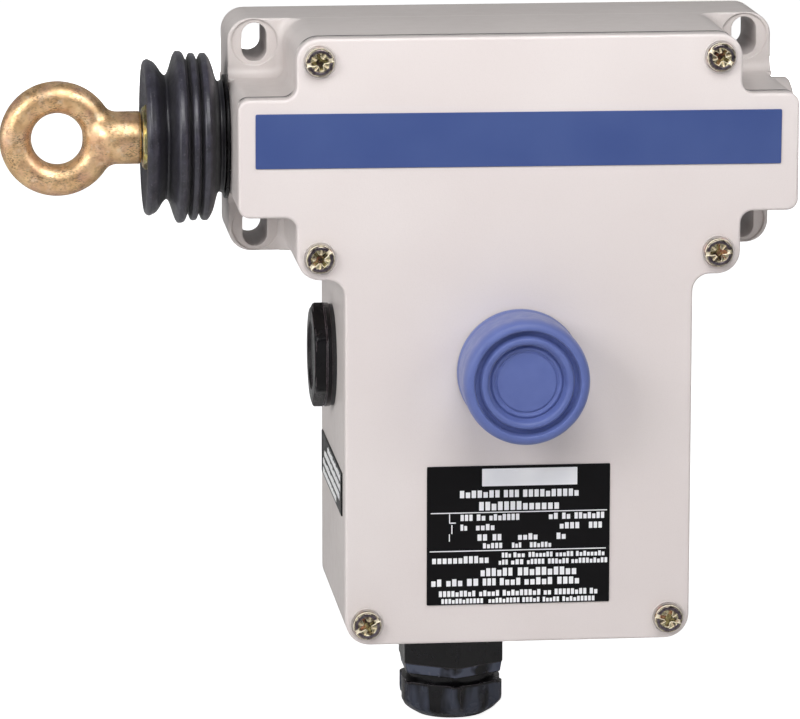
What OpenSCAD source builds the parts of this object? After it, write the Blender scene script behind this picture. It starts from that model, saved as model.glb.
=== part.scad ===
// Rope pull switch: a cast T housing that a tensioned rope pulls on through an eye, with a reset button.
// Frame: +X towards the end cap, +Y into the wall, +Z up. Origin: centre of the four fixing slots, rear face.
// A depth is a distance in front of the rear face, so it runs along -Y.

/* [Housing] */
// Height of the rear lug plates and of the top block
flange_h = 67.6; // [64:0.2:72]
// Thickness of the lug plates
lug_t = 27; // [20:1:30]
// Corner radius of the lug plates
lug_r = 6.5; // [4:0.5:8]
// Width of the top block between the lug pockets
block_w = 126; // [116:1:138]
// Width of a lug plate beside the top block
lug_w = 16; // [14:0.5:19]
// Distance from the pull axis down to the shoulder under the top block
block_drop = 34.7; // [32:0.1:38]
// Corner radius of the top block
block_r = 6.5; // [4:0.5:8]
// Distance that an arm stands out past the lug plate behind it
arm_overhang = 0.4; // [0.2:0.1:2]
// Height of the arms
arm_h = 33.5; // [31:0.5:36]
// Corner radius at the arm ends
arm_r = 3.2; // [2:0.2:5]
// Concave radius in the lug pockets
pocket_r = 3.5; // [2:0.5:5]
// Radius of the cove on the pockets' floors
cove_r = 3; // [1:0.5:3.5]
// Radius of the rounded front edge of the lug plates
lug_edge_r = 0.6; // [0.4:0.1:1.2]
// Width of the lower box that holds the contacts
box_w = 99; // [92:1:108]
// Distance from the pull axis down to the bottom of the lower box
box_drop = 140.6; // [130:0.2:155]
// Corner radius at the bottom of the lower box
box_r = 7; // [5:0.5:9]
// Concave radius between the shoulder and the lower box
waist_r = 5; // [3:0.5:7]
// Depth of the housing without its cover
body_d = 68; // [64:1:74]
// Thickness of the side walls
wall = 3.8; // [3:0.2:4.4]
// Thickness of the rear wall
floor_t = 4; // [3:0.5:5]
// Radius of the cast bosses under the cover screws
boss_r = 5.6; // [5:0.2:6.4]

/* [Fixing slots] */
// Distance of a slot's middle from the side edge of its lug plate
slot_edge_x = 7.75; // [7:0.25:9]
// Distance of a slot's middle from the upper or lower edge of its lug plate
slot_edge_z = 6.9; // [6.5:0.1:8]
// Width of a slot
slot_w = 7.2; // [6.4:0.2:8]
// Length of a slot from end to end
slot_l = 11.2; // [9:0.2:12]
// Diameter of the spot face round a slot
spot_d = 13.4; // [12.4:0.2:13.8]
// Depth of the spot face round a slot
spot_t = 0.6; // [0.2:0.2:1]

/* [Cover] */
// Thickness of the cover
cover_t = 4.7; // [4:0.1:6]
// Radius of the cover's rounded front edge
cover_edge_r = 0.8; // [0.4:0.1:1.4]
// Thickness of the gasket under the cover
gasket_t = 0.8; // [0.5:0.1:1.5]
// Distance that the gasket's edge lies inside the outline
gasket_inset = 0.5; // [0.2:0.1:1]
// Thickness of the locating lip behind the cover
lip_t = 1.6; // [1:0.2:2.4]
// Height of the locating lip behind the gasket
lip_h = 2; // [1:0.5:4]
// Clearance between the lip and the housing wall
lip_gap = 0.35; // [0.2:0.05:0.6]
// Distance of the band label's ends from the ends of the arms
band_margin = 4.8; // [3:0.2:10]
// Height of the band label
band_h = 15.6; // [12:0.2:18]
// Height of the band label's middle above the pull axis
band_z = 4.8; // [2:0.2:7]
// Width of the data plate
plate_w = 52.5; // [46:0.5:58]
// Space between the reset button's bezel and the data plate
plate_gap = 9.7; // [6:0.2:14]
// Distance from the bottom of the cover to the data plate
plate_up = 11.3; // [10:0.1:13]
// Thickness of the stuck-on labels
label_t = 0.4; // [0.3:0.1:0.6]
// Height of the label on the left wall
side_label_h = 12.6; // [10:0.2:16]
// Distance from the pull axis down to the middle of the label on the left wall
side_label_drop = 98.4; // [94:0.2:110]
// Distance that the side label stays clear of the front and rear edges
side_label_margin = 3; // [2:0.5:6]

/* [Cover screws] */
// Diameter of a cover screw's thread
screw_d = 4; // [3.5:0.5:4.5]
// Diameter of a cover screw's head
screw_head_d = 8; // [7:0.2:8.6]
// Height of a cover screw's head
screw_head_h = 2.5; // [2:0.1:3]
// Length of a cover screw below its head
screw_l = 16; // [12:1:20]
// Distance of the upper and middle screws from the edges
screw_inset = 6.4; // [5.8:0.1:7]
// Distance of the lowest screws from the edges
low_screw_inset = 6.1; // [5.8:0.1:7]

/* [Pull line] */
// Depth of the pull axis
axis_d = 28.5; // [27:0.5:30]
// Travel of the pull shaft from the slack stop
travel = 14; // [10:1:16]
// Diameter of the pull shaft
shaft_d = 10; // [8:0.5:11]
// Diameter of the threaded end of the shaft
thread_d = 8; // [6:0.5:8]
// Distance from the left arm end to the middle of the eye
eye_reach = 48.8; // [47:0.2:54]
// Radius of the eye's ring, to the middle of its bar
eye_r = 12; // [11:0.2:14]
// Radius of the eye's bar
eye_bar_r = 4.6; // [4:0.1:5]
// Diameter of the eye's neck
neck_d = 15.2; // [14:0.2:17]
// Distance from the left arm end to the end of the eye's neck
neck_reach = 24.8; // [24.4:0.1:26]
// Width across flats of the lock nut
locknut_af = 17; // [15:0.5:18]
// Thickness of the lock nut
locknut_t = 4.5; // [4:0.5:5]
// Outer diameter of the two shaft bushes
bush_d = 20; // [18:0.5:22]
// Diameter of the bushes' flanges
bush_flange_d = 26; // [24:0.5:28]
// Thickness of the bushes' flanges
bush_flange_t = 2; // [1.5:0.5:3]
// Length of the spigots that the end cap and the bellows collar have in the arms
spigot_in = 4; // [3:0.5:6]
// Space between a bush and the spigot behind it
bush_gap = 1.2; // [0.6:0.2:3]
// Diameter of the stop collar on the shaft
stop_d = 16; // [14:0.5:18]
// Length of the stop collar
stop_l = 7; // [4:1:10]
// Diameter of the end cap
cap_d = 30; // [27:0.5:32]
// Height of the end cap outside the arm
cap_h = 4.8; // [4.2:0.1:6]
// Clearance all round a part that runs in another
running_gap = 0.05; // [0.02:0.01:0.1]
// Clearance all round a part that is pressed or screwed into another
press_gap = 0.03; // [0.02:0.01:0.1]
// Space left between parts that move past each other
free_gap = 0.3; // [0.2:0.05:0.5]

/* [Bellows] */
// Radius of the bellows' largest fold
bellows_r = 24.75; // [23:0.25:26]
// Radius of the outer disc's bead
dish_r = 22.5; // [21:0.25:24]
// Wall thickness of the bellows
bellows_t = 1.4; // [1:0.1:1.8]
// Depth of the small grooves between the folds
fold_depth = 1.9; // [1:0.1:3]
// Radius of the bellows' neck on its collar
bellows_neck_r = 16.35; // [15.5:0.05:17]
// Radius of the collar's flange against the housing
collar_r = 17.85; // [17:0.05:19]
// Thickness of the collar's flange
collar_t = 1.1; // [0.8:0.1:2]
// Length of the collar's spigot
spigot_l = 3.2; // [2.6:0.1:3.6]

/* [Trip mechanism] */
// Distance from the pull axis down to the trip lever's pivot
pivot_drop = 34; // [33:0.5:36]
// Distance from the pivot down to the contact slide's pin
slide_arm = 32; // [30:0.5:34]
// Diameter of the drive pin and of the slide pin
drive_pin_d = 4; // [3:0.5:4.5]
// Clearance of a pin in its fork, on each side
fork_gap = 0.25; // [0.2:0.05:0.4]
// Width of the fork's two tines together with its slot
fork_w = 10.5; // [9:0.5:12]
// Thickness of the lever's two upper cheeks
cheek_t = 4; // [3:0.5:5]
// Distance from the pull axis to the inner face of a cheek
cheek_offset = 7; // [6.5:0.5:8]
// Diameter of the lever's pivot pin
pivot_d = 6; // [5:0.5:7]
// Diameter of the lever's hub
hub_d = 14; // [12:1:16]
// Width of the steel frame that carries the lever
frame_w = 52; // [48:1:56]
// Height of the steel frame
frame_h = 24; // [20:1:26]
// Thickness of the steel frame
frame_t = 2; // [1.5:0.5:3]
// Depth of the steel frame from back to front
frame_d = 36; // [36:1:40]
// Height of the cast pillars under the steel frame
pillar_h = 6; // [4:0.5:8]
// Distance from the drive pin to the spring collar on the shaft
spring_collar_offset = 18; // [16:1:20]
// Diameter of the spring collar
spring_collar_d = 21; // [20:0.5:24]
// Thickness of the spring collar
spring_collar_t = 2.5; // [2:0.5:4]
// Wire diameter of the pull spring
pull_wire = 2.2; // [1.6:0.2:2.4]
// Turns of the pull spring
pull_turns = 8; // [6:1:9]

/* [Contacts] */
// Space between the contact block and each side wall, for the blanking plug's thread
plug_room = 3.7; // [3.4:0.1:5]
// Width of the two posts beside the contact slide
post_w = 7; // [6:0.5:8]
// Clearance between the slide and the posts at the ends of its travel
post_gap = 0.4; // [0.2:0.1:1]
// Height of the part of the contact block that holds the terminals
terminal_h = 21; // [18:1:24]
// Height of the contact slide
slide_h = 27; // [25:1:28]
// Depth of the contact slide's rear face
slide_d0 = 20; // [19:0.5:21]
// Depth of the contact slide's front face
slide_d1 = 38; // [37:0.5:39]
// Height of the cast pads under the contact block
pad_t = 4; // [3:0.5:6]
// Thickness of the rails above and below the slide
rail_t = 2.4; // [2:0.2:3]
// Thickness of the plate that keeps the slide in
keeper_t = 2; // [1.5:0.5:2.5]
// Width of a fixed contact strip
strip_w = 4; // [3:0.5:4.5]
// Thickness of a fixed contact strip
strip_t = 0.8; // [0.6:0.1:1]

/* [Reset button] */
// Distance of the reset button's middle above the latch's pivot
reset_rise = 13.5; // [12:0.5:15]
// Travel of the reset button
reset_travel = 5; // [4:0.5:6]
// Radius of the rubber boot
boot_r = 18; // [17:0.1:18.6]
// Height of the boot's face above the cover
boot_h = 20; // [19:0.5:22]
// Wall thickness of the boot
boot_t = 1.5; // [1:0.1:1.8]
// Depth of the recess in the middle of the boot's face
boot_recess = 3; // [2:0.5:3.5]
// Radius of the bezel under the boot
bezel_r = 17.7; // [17.4:0.1:18.6]
// Thickness of the bezel's flange
bezel_t = 2; // [1.5:0.5:2.5]
// Diameter of the hole for the bezel in the cover
bezel_hole_d = 22.5; // [22:0.5:24]
// Diameter of the button's stem
stem_d = 10; // [8:0.5:10]
// Diameter of the bezel's nut
nut_d = 30; // [28:1:32]
// Thickness of the bezel's nut
nut_t = 4; // [3:0.5:5]

/* [Latch] */
// Distance from the latch's pivot down to its tooth
tooth_reach = 7; // [6.5:0.5:9]
// Distance from the latch's pivot up to its nose
nose_rise = 16; // [15:0.5:18]
// Diameter of the latch's pin
latch_pin_d = 3; // [2.5:0.5:3.5]
// Width of the latch
latch_w = 16; // [12:1:18]
// Radius of the latch's nose under the button's stem
nose_r = 3; // [2.5:0.5:3.5]

/* [Cable entries] */
// Diameter of the two threaded entries
entry_d = 20; // [18:1:20]
// Depth of the middle of the entries
entry_depth = 34; // [32:0.5:36]
// Distance of the gland to the left of the middle
gland_offset = 14.8; // [12:0.2:18]
// Width across flats of the gland
gland_af = 29; // [27:0.5:30]
// Height of the gland's hexagon
gland_hex_h = 16.3; // [15:0.1:18]
// Height of the thread that shows above the gland's cap nut
gland_neck_h = 3; // [1:0.5:4]
// Height of the gland's cap nut
gland_cap_h = 10.5; // [10:0.5:12]
// Diameter of the largest cable that the gland's seal takes
gland_bore_d = 10; // [8:0.5:10]
// Distance from the pull axis down to the blanking plug
plug_drop = 63.5; // [61:0.5:67]
// Width across flats of the blanking plug
plug_af = 27; // [24:0.5:28]
// Height of the blanking plug outside the wall
plug_h = 6.3; // [5.5:0.1:8]

/* [Hidden] */
$fn = 48;

// How far a cut runs past the face it opens
past = 0.5;
// How far two shapes of one piece run into each other
bite = 1;
// Clearance of a screw in its through hole, and round its head
screw_gap = 0.25;
head_gap = 0.5;
// Depths of the cover
cover_d0 = body_d + gasket_t;
cover_d1 = cover_d0 + cover_t;
// Rear lug plates and arms
flange_w = block_w + 2 * lug_w;
arm_end = flange_w / 2 + arm_overhang;
slot_x = flange_w / 2 - slot_edge_x;
slot_z = flange_h / 2 - slot_edge_z;
cavity_r = 2;
// Places of the six cover screws, as X and Z
top_screw = [block_w / 2 - screw_inset, flange_h / 2 - screw_inset];
mid_screw = [block_w / 2 - screw_inset, screw_inset - block_drop];
low_screw = [box_w / 2 - low_screw_inset, low_screw_inset - box_drop];
cover_screw_places = [for (p = [top_screw, mid_screw, low_screw], s = [-1, 1]) [s * p[0], p[1]]];

// Outlines are lists of corners, clockwise from the top right: X, Z and radius, minus for an inner corner
function both_sides(right) =
    concat(right, [for (k = [len(right) - 1:-1:0]) [-right[k][0], right[k][1], right[k][2]]]);
lug_corners = both_sides([[flange_w / 2, flange_h / 2, lug_r], [flange_w / 2, -flange_h / 2, lug_r]]);
t_corners = both_sides([[block_w / 2, flange_h / 2, block_r], [block_w / 2, arm_h / 2, -pocket_r],
                        [arm_end, arm_h / 2, arm_r], [arm_end, -arm_h / 2, arm_r],
                        [block_w / 2, -arm_h / 2, -pocket_r], [block_w / 2, -block_drop, block_r],
                        [box_w / 2, -block_drop, -waist_r], [box_w / 2, -box_drop, box_r]]);

// Pull line, along X
chamber_x = block_w / 2 - wall;
eye_x = -arm_end - eye_reach;
neck_x = -arm_end - neck_reach;
neck_bevel = 0.8;
locknut_x = neck_x + free_gap;
hub_x = locknut_x + locknut_t;
hub_t = 2;
washer_x = hub_x + hub_t;
washer_t = 1.5;
washer_r = thread_d / 2 + 5;
shoulder_x = washer_x + washer_t;
bush_face = chamber_x - bush_flange_t;
bush_l = arm_end - chamber_x - spigot_in - bush_gap;
shaft_end = arm_end + 1.1;
pin_x = travel / 2;
collar_x = pin_x - spring_collar_offset;
pull_spring_r = shaft_d / 2 + 3.2;
circlip_t = 1;
circlip_reach = 2.6;
circlip_x = collar_x + spring_collar_t;
thread_reach = 14;
seal_r = cap_d / 2 - 3;
seal_bar_r = 0.9;
circlip_groove = 0.4;
spigot_x = -arm_end - collar_t - spigot_l;
spigot_r = bellows_neck_r - bellows_t - 0.2;
shaft_bore_r = shaft_d / 2 + running_gap;
shaft_room_r = shaft_d / 2 + 0.6;

// Trip lever: its lean at rest, and the slide's offset to the left at rest
lever_lean = atan(pin_x / pivot_drop);
slide_x = -slide_arm * tan(lever_lean);
slide_pin_z = -pivot_drop - slide_arm;
cheek_d = axis_d - cheek_offset;
lower_fork_t = 6;
frame_d0 = floor_t + pillar_h;
frame_d1 = frame_d0 + frame_d;
frame_screw_x = 18;
frame_screw_z = frame_h / 2 - 5.5;
frame_screw_l = 7;
pillar_r = screw_d / 2 + 2.5;

// Contact slide and block
slide_travel = -2 * slide_x;
slide_top = slide_pin_z + 5;
slide_bottom = slide_top - slide_h;
slide_depth = slide_d1 - slide_d0;
contact_w = box_w - 2 * wall - 2 * plug_room;
slide_w = contact_w - 2 * post_w - 2 * post_gap - slide_travel;
post_x = contact_w / 2 - post_w;
terminal_pitch = slide_w / 4 - 2;
block_d0 = floor_t + pad_t;
deck_d = slide_d0 - strip_t - 1.2;
block_top = slide_top + free_gap + rail_t;
terminal_top = slide_bottom - free_gap;
block_bottom = terminal_top - terminal_h;
block_face = slide_d1 + free_gap;
keeper_face = block_face + keeper_t;
terminal_z = terminal_top - terminal_h / 2;
terminal_places = [for (k = [-2, -1, 1, 2]) k * terminal_pitch];
bridge_z = slide_bottom + 10;
bridge_w = terminal_pitch + 2;
bridge_h = 4;
ear_w = 9.2;
ear_h = rail_t + 9;
ear_t = 6;
pad_h = 10;
block_screw_x = contact_w / 2 - ear_w / 2;
block_screw_z = [block_bottom + 5, block_top + 4.5];
lever_gap = 12.5;
keeper_screw_d = 3;
keeper_screw_l = 8;
keeper_screw_x = contact_w / 2 - post_w / 2 + 0.1;
keeper_screw_z = [slide_bottom + 3, slide_top - 3];
strip_pad_d = block_face - 10;
clamp_w = 8;
terminal_screw_d = 3.4;

// Latch: its tooth lies in the slide's groove, and the button's stem meets its nose
latch_hub_r = 4;
latch_d = keeper_face + latch_hub_r + 2.7;
tooth_z = slide_bottom + 6;
latch_z = tooth_z + tooth_reach;
tooth_h = 3;
tooth_tip_d = slide_d1 - 1;
nose_z = latch_z + nose_rise;
nose_d = latch_d + 5.7;
seat_z = nose_z - 5;
seat_d = latch_d + 1.9;
keeper_ear_t = 2;
tooth_w = 6;
latch_spring_r = 2.1;

// Reset button: heights are in front of the cover
reset_z = latch_z + reset_rise;
stem_end = nose_d + nose_r + free_gap - cover_d1;
sleeve_end = -(cover_t + nut_t + 2.8);
boot_face_t = 1.8;
boot_base_r = boot_r - 0.5;
ring_rs = [0.86, 0.78, 0.74, 0.59, 0.49] * boot_r;
rest_r = ring_rs[3] + 1;
head_r = boot_base_r - boot_t - 0.6;
skirt_r = head_r - 1.9;
stem_bore_r = stem_d / 2 + running_gap;
bezel_sleeve_r = bezel_hole_d / 2 - 0.1;
reset_spring_r = stem_d / 2 + 2.6;

// Cable entries
entry_r = entry_d / 2;
entry_rim = 4;
gland_z = -box_drop;
gland_hex_z = gland_z - gland_hex_h;
gland_cap_z = gland_hex_z - gland_neck_h;
gland_band_h = 2.6;
gland_end = gland_cap_z - gland_cap_h;
gland_thread_r = gland_af / 2 - 3;
gland_seal_r = gland_bore_d / 2 + 3;
gland_seal_z = gland_end + 2.5;
gland_seal_l = gland_hex_z + 2 - gland_seal_z;
plug_z = -plug_drop;
wall_x = -box_w / 2;
ring_t = 1.2;
plug_flange_t = 1.5;
// Data plate, between the bezel above it and the foot of the cover
plate_z = plate_up - box_drop;
plate_h = reset_z - bezel_r - plate_gap - plate_z;
// Earth screw in the wiring space, between the contact block and the bottom wall
earth_x = 30;
earth_z = (block_bottom + wall - box_drop) / 2;
earth_d = 16;

// --- placing ---
// Sets a shape drawn in X and Z, standing forward from a depth
module slab(depth, thick) {
    translate([0, -depth, 0]) rotate([90, 0, 0]) linear_extrude(thick) children();
}
// Stands a turned part forward from a depth, at a place in X and Z
module facing(x, z, depth) {
    translate([x, -depth, z]) rotate([90, 0, 0]) children();
}
// Lays a turned part along the pull axis, starting at X
module on_axis(x) {
    translate([x, -axis_d, 0]) rotate([0, 90, 0]) children();
}
// A ring or disc from its inner and outer radius
module tube(r_in, r_out, h) {
    difference() {
        cylinder(r = r_out, h = h);
        translate([0, 0, -past]) cylinder(r = r_in, h = h + 2 * past);
    }
}

// --- shared shapes ---
// A rectangle with round corners
module rounded(x0, x1, z0, z1, r) {
    translate([x0 + r, z0]) square([x1 - x0 - 2 * r, z1 - z0]);
    translate([x0, z0 + r]) square([x1 - x0, z1 - z0 - 2 * r]);
    for (x = [x0 + r, x1 - r], z = [z0 + r, z1 - r]) translate([x, z]) circle(r);
}
// Concave fillet in the corner between two walls, along X and Y
module inner_corner(r) {
    difference() {
        translate([-bite, -bite]) square(r + bite);
        translate([r, r]) circle(r);
    }
}
function corner(path, k) = path[(k + len(path)) % len(path)];
// Direction of the side from corner k to the next
function heading(path, k) =
    let (a = corner(path, k), b = corner(path, k + 1)) atan2(b[1] - a[1], b[0] - a[0]);
// Corner k moved inwards, square to both its sides
function inset_corner(path, k, inset) =
    let (c = corner(path, k), g = heading(path, k - 1) + 90, h = heading(path, k) + 90)
    [c[0] - inset * (cos(g) + cos(h)), c[1] - inset * (sin(g) + sin(h))];
// What rounds corner k: a cut at an outer corner, a fillet at an inner one
module corner_round(path, k, inset) {
    r = abs(corner(path, k)[2] - inset);
    outer = corner(path, k)[2] > 0;
    translate(inset_corner(path, k, inset)) rotate(heading(path, k - 1)) difference() {
        translate([-r, outer ? -r : -bite]) square(r + bite);
        translate([-r, outer ? -r : r]) circle(r);
    }
}
// A closed outline with round corners, drawn smaller by an inset
module outline(path, inset = 0) {
    difference() {
        polygon([for (k = [len(path) - 1:-1:0]) inset_corner(path, k, inset)]);
        for (k = [0:len(path) - 1]) if (path[k][2] > 0) corner_round(path, k, inset);
    }
    for (k = [0:len(path) - 1]) if (path[k][2] < 0) corner_round(path, k, inset);
}
// What is cut off a front edge to round it: X runs outwards, Y forwards
module edge_profile(r) {
    translate([-r, -r]) difference() {
        square(r + past);
        circle(r);
    }
}
// The cut that rounds the front edge of a plate with that outline
module edge_cut(path, depth, r) {
    translate([0, -depth, 0]) rotate([90, 0, 0]) for (k = [0:len(path) - 1]) {
        c = path[k];
        g = heading(path, k - 1);
        h = heading(path, k);
        bend = abs(c[2]);
        side = norm([corner(path, k + 1)[0] - c[0], corner(path, k + 1)[1] - c[1]]);
        translate([c[0], c[1], 0]) rotate(h) translate([bend, 0, 0]) rotate([90, 0, 90])
            linear_extrude(side - bend - abs(corner(path, k + 1)[2])) edge_profile(r);
        translate([c[0] + bend * (cos(h) - cos(g)), c[1] + bend * (sin(h) - sin(g)), 0])
            rotate(c[2] > 0 ? h + 90 : g - 90) rotate_extrude(angle = 90)
            translate([bend, 0]) mirror([c[2] > 0 ? 0 : 1, 0]) edge_profile(r);
    }
}
// The cavity behind the cover, drawn smaller by an inset, with the screw bosses left out
module cavity(inset = 0) {
    w = wall + inset;
    difference() {
        union() {
            rounded(w - block_w / 2, block_w / 2 - w, w - block_drop, flange_h / 2 - w, cavity_r);
            rounded(w - box_w / 2, box_w / 2 - w, w - box_drop, 0, cavity_r);
        }
        for (p = cover_screw_places) translate(p) circle(boss_r + inset);
    }
}
// One fixing slot, standing upright
module slot() {
    r = slot_w / 2;
    reach = slot_l / 2 - r;
    translate([-r, -reach]) square([2 * r, 2 * reach]);
    for (s = [-1, 1]) translate([0, s * reach]) circle(r);
}
module at_slots() {
    for (x = [-1, 1], z = [-1, 1]) translate([x * slot_x, z * slot_z]) children();
}
// A hexagon from its width across flats
module hexagon(af) {
    circle(d = af / cos(30), $fn = 6);
}
// A hexagonal prism with both ends chamfered to a circle
module chamfered_hex(af, h, chamfer) {
    corner = af / cos(30) / 2;
    rim = af / 2 - 0.2;
    intersection() {
        linear_extrude(h) hexagon(af);
        rotate_extrude()
            polygon([[0, 0], [rim, 0], [corner + 0.1, chamfer], [corner + 0.1, h - chamfer],
                     [rim, h], [0, h]]);
    }
}
// A pan head screw with a slot and a cross, its head standing up from the origin
module pan_screw(d, head_d, head_h, len) {
    r = head_d / 2;
    slot_t = 0.9;
    difference() {
        union() {
            rotate_extrude() polygon([[0, 0], [r, 0], [r, head_h * 0.45], [r * 0.88, head_h * 0.8],
                                      [r * 0.62, head_h], [0, head_h]]);
            translate([0, 0, -len]) cylinder(d = d, h = len + 0.2);
        }
        for (a = [0, 90]) rotate(a + 35)
            translate([-r * (a == 0 ? 2 : 0.6), -slot_t / 2, head_h * 0.5])
                cube([r * (a == 0 ? 4 : 1.2), slot_t, head_h]);
    }
}
// A helical compression spring standing on the origin, its end turns closed
module spring(mean_r, wire_d, len, turns, sides = 6, steps = 14) {
    w = wire_d / 2;
    end_rise = wire_d * 1.15;
    mid_rise = (len - wire_d - 2 * end_rise) / (turns - 2);
    n = turns * steps;
    function rise(t) = t < 1 ? t * end_rise
                     : t > turns - 1 ? end_rise + (turns - 2) * mid_rise + (t - turns + 1) * end_rise
                     : end_rise + (t - 1) * mid_rise;
    points = [for (i = [0:n], j = [0:sides - 1])
        let (t = i / steps, a = 360 * t, b = 360 * j / sides, r = mean_r + w * cos(b))
        [r * cos(a), r * sin(a), w + rise(t) + w * sin(b)]];
    walls = [for (i = [0:n - 1], j = [0:sides - 1])
        let (k = (j + 1) % sides)
        [i * sides + j, i * sides + k, (i + 1) * sides + k, (i + 1) * sides + j]];
    ends = [[for (j = [sides - 1:-1:0]) j], [for (j = [0:sides - 1]) n * sides + j]];
    polyhedron(points = points, faces = concat(walls, ends), convexity = 6);
}
// An open retaining ring
module circlip(r_in, r_out, h) {
    mouth = 2.4;
    difference() {
        tube(r_in, r_out, h);
        translate([0, -mouth / 2, -past]) cube([r_out + bite, mouth, h + 2 * past]);
    }
}

// --- housing and cover ---
// Coves on the floors of the four lug pockets, round the block's corners and along the arms
module pocket_coves() {
    in_x = block_w / 2;
    in_z = arm_h / 2;
    intersection() {
        slab(lug_t - bite, cove_r + bite) outline(lug_corners);
        for (s = [0, 1], m = [0, 1]) mirror([s, 0, 0]) mirror([0, 0, m]) {
            top = (m == 0 ? flange_h / 2 : block_drop) - block_r;
            translate([in_x, -lug_t, in_z + pocket_r]) linear_extrude(top - in_z - pocket_r)
                mirror([0, 1]) inner_corner(cove_r);
            translate([in_x + pocket_r, -lug_t, in_z]) rotate([90, 0, 90]) linear_extrude(arm_end - in_x)
                rotate(90) inner_corner(cove_r);
            facing(in_x + pocket_r, in_z + pocket_r, lug_t) rotate(180) rotate_extrude(angle = 90)
                translate([pocket_r, 0]) mirror([1, 0]) inner_corner(cove_r);
            facing(in_x - block_r, top, lug_t) rotate_extrude(angle = 90)
                translate([block_r, 0]) inner_corner(cove_r);
        }
    }
}
// Pillars and pads on the rear wall, and the thickened rims inside the two threaded entries
module inner_bosses() {
    for (x = [-1, 1], z = [-1, 1])
        facing(x * frame_screw_x, z * frame_screw_z - pivot_drop, bite)
            cylinder(r = pillar_r, h = frame_d0 - bite);
    for (z = block_screw_z)
        slab(bite, block_d0 - bite) translate([-contact_w / 2, z - pad_h / 2]) square([contact_w, pad_h]);
    facing(earth_x, earth_z, bite) cylinder(r = screw_d / 2 + 3, h = earth_d - bite);
    translate([-gland_offset, -entry_depth, gland_z + bite]) cylinder(r = entry_r + entry_rim, h = wall + 3);
    translate([wall_x + bite, -entry_depth, plug_z]) rotate([0, 90, 0])
        cylinder(r = entry_r + entry_rim, h = wall + 1);
}
// Every hole that is drilled or milled in the casting
module housing_holes() {
    slab(-past, lug_t + 2 * past) at_slots() slot();
    slab(lug_t - spot_t, spot_t + cove_r + past) at_slots() circle(d = spot_d);
    // seats for the bushes, and the pockets in the arms in front of them
    for (s = [0, 1]) mirror([s, 0, 0]) {
        on_axis(chamber_x - past) cylinder(d = bush_d, h = arm_end - chamber_x + 2 * past);
        slab(axis_d + bush_d / 2 + wall, body_d)
            rounded(chamber_x - 3, arm_end - wall, wall - arm_h / 2, arm_h / 2 - wall, cavity_r);
    }
    // threads of the screws
    for (p = cover_screw_places)
        facing(p[0], p[1], body_d - screw_l) cylinder(d = screw_d, h = screw_l + past);
    for (x = [-1, 1], z = [-1, 1])
        facing(x * frame_screw_x, z * frame_screw_z - pivot_drop, frame_d0 - frame_screw_l)
            cylinder(d = screw_d, h = frame_screw_l + past);
    for (x = [-1, 1], z = block_screw_z)
        facing(x * block_screw_x, z, block_d0 - 6) cylinder(d = screw_d, h = 6 + past);
    facing(earth_x, earth_z, earth_d - 9) cylinder(d = screw_d, h = 9 + past);
    // the two threaded entries
    translate([-gland_offset, -entry_depth, gland_z - past]) cylinder(r = entry_r, h = wall + 5);
    translate([wall_x - past, -entry_depth, plug_z]) rotate([0, 90, 0]) cylinder(r = entry_r, h = wall + 5);
}
module housing() {
    color("lightgrey") difference() {
        union() {
            difference() {
                union() {
                    slab(0, body_d) outline(t_corners);
                    difference() {
                        slab(0, lug_t) outline(lug_corners);
                        edge_cut(lug_corners, lug_t, lug_edge_r);
                    }
                    pocket_coves();
                }
                slab(floor_t, body_d) cavity();
            }
            inner_bosses();
        }
        housing_holes();
    }
}
module cover() {
    color("whitesmoke") difference() {
        union() {
            slab(cover_d0, cover_t) outline(t_corners);
            slab(cover_d0 - gasket_t - lip_h, lip_h + gasket_t) difference() {
                cavity(lip_gap);
                cavity(lip_gap + lip_t);
            }
        }
        edge_cut(t_corners, cover_d1, cover_edge_r);
        for (p = cover_screw_places)
            facing(p[0], p[1], cover_d0 - past) cylinder(r = screw_d / 2 + screw_gap, h = cover_t + 2 * past);
        facing(0, reset_z, cover_d0 - past) cylinder(d = bezel_hole_d, h = cover_t + 2 * past);
    }
}
module cover_gasket() {
    color("dimgray") slab(body_d, gasket_t) difference() {
        outline(t_corners, gasket_inset);
        cavity();
        for (p = cover_screw_places) translate(p) circle(r = screw_d / 2 + screw_gap);
    }
}
module cover_screws() {
    color("silver") for (p = cover_screw_places)
        facing(p[0], p[1], cover_d1) pan_screw(screw_d - 2 * press_gap, screw_head_d, screw_head_h, screw_l);
}
module band_label() {
    reach = arm_end - band_margin;
    color("steelblue") slab(cover_d1, label_t)
        translate([-reach, band_z - band_h / 2]) square([2 * reach, band_h]);
}
module data_plate() {
    color("black") slab(cover_d1, label_t)
        translate([-plate_w / 2, plate_z]) square([plate_w, plate_h]);
}
module side_label() {
    low_z = -side_label_drop - side_label_h / 2;
    color("black") translate([wall_x - label_t, side_label_margin - body_d, low_z])
        cube([label_t, body_d - 2 * side_label_margin, side_label_h]);
}

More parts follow.
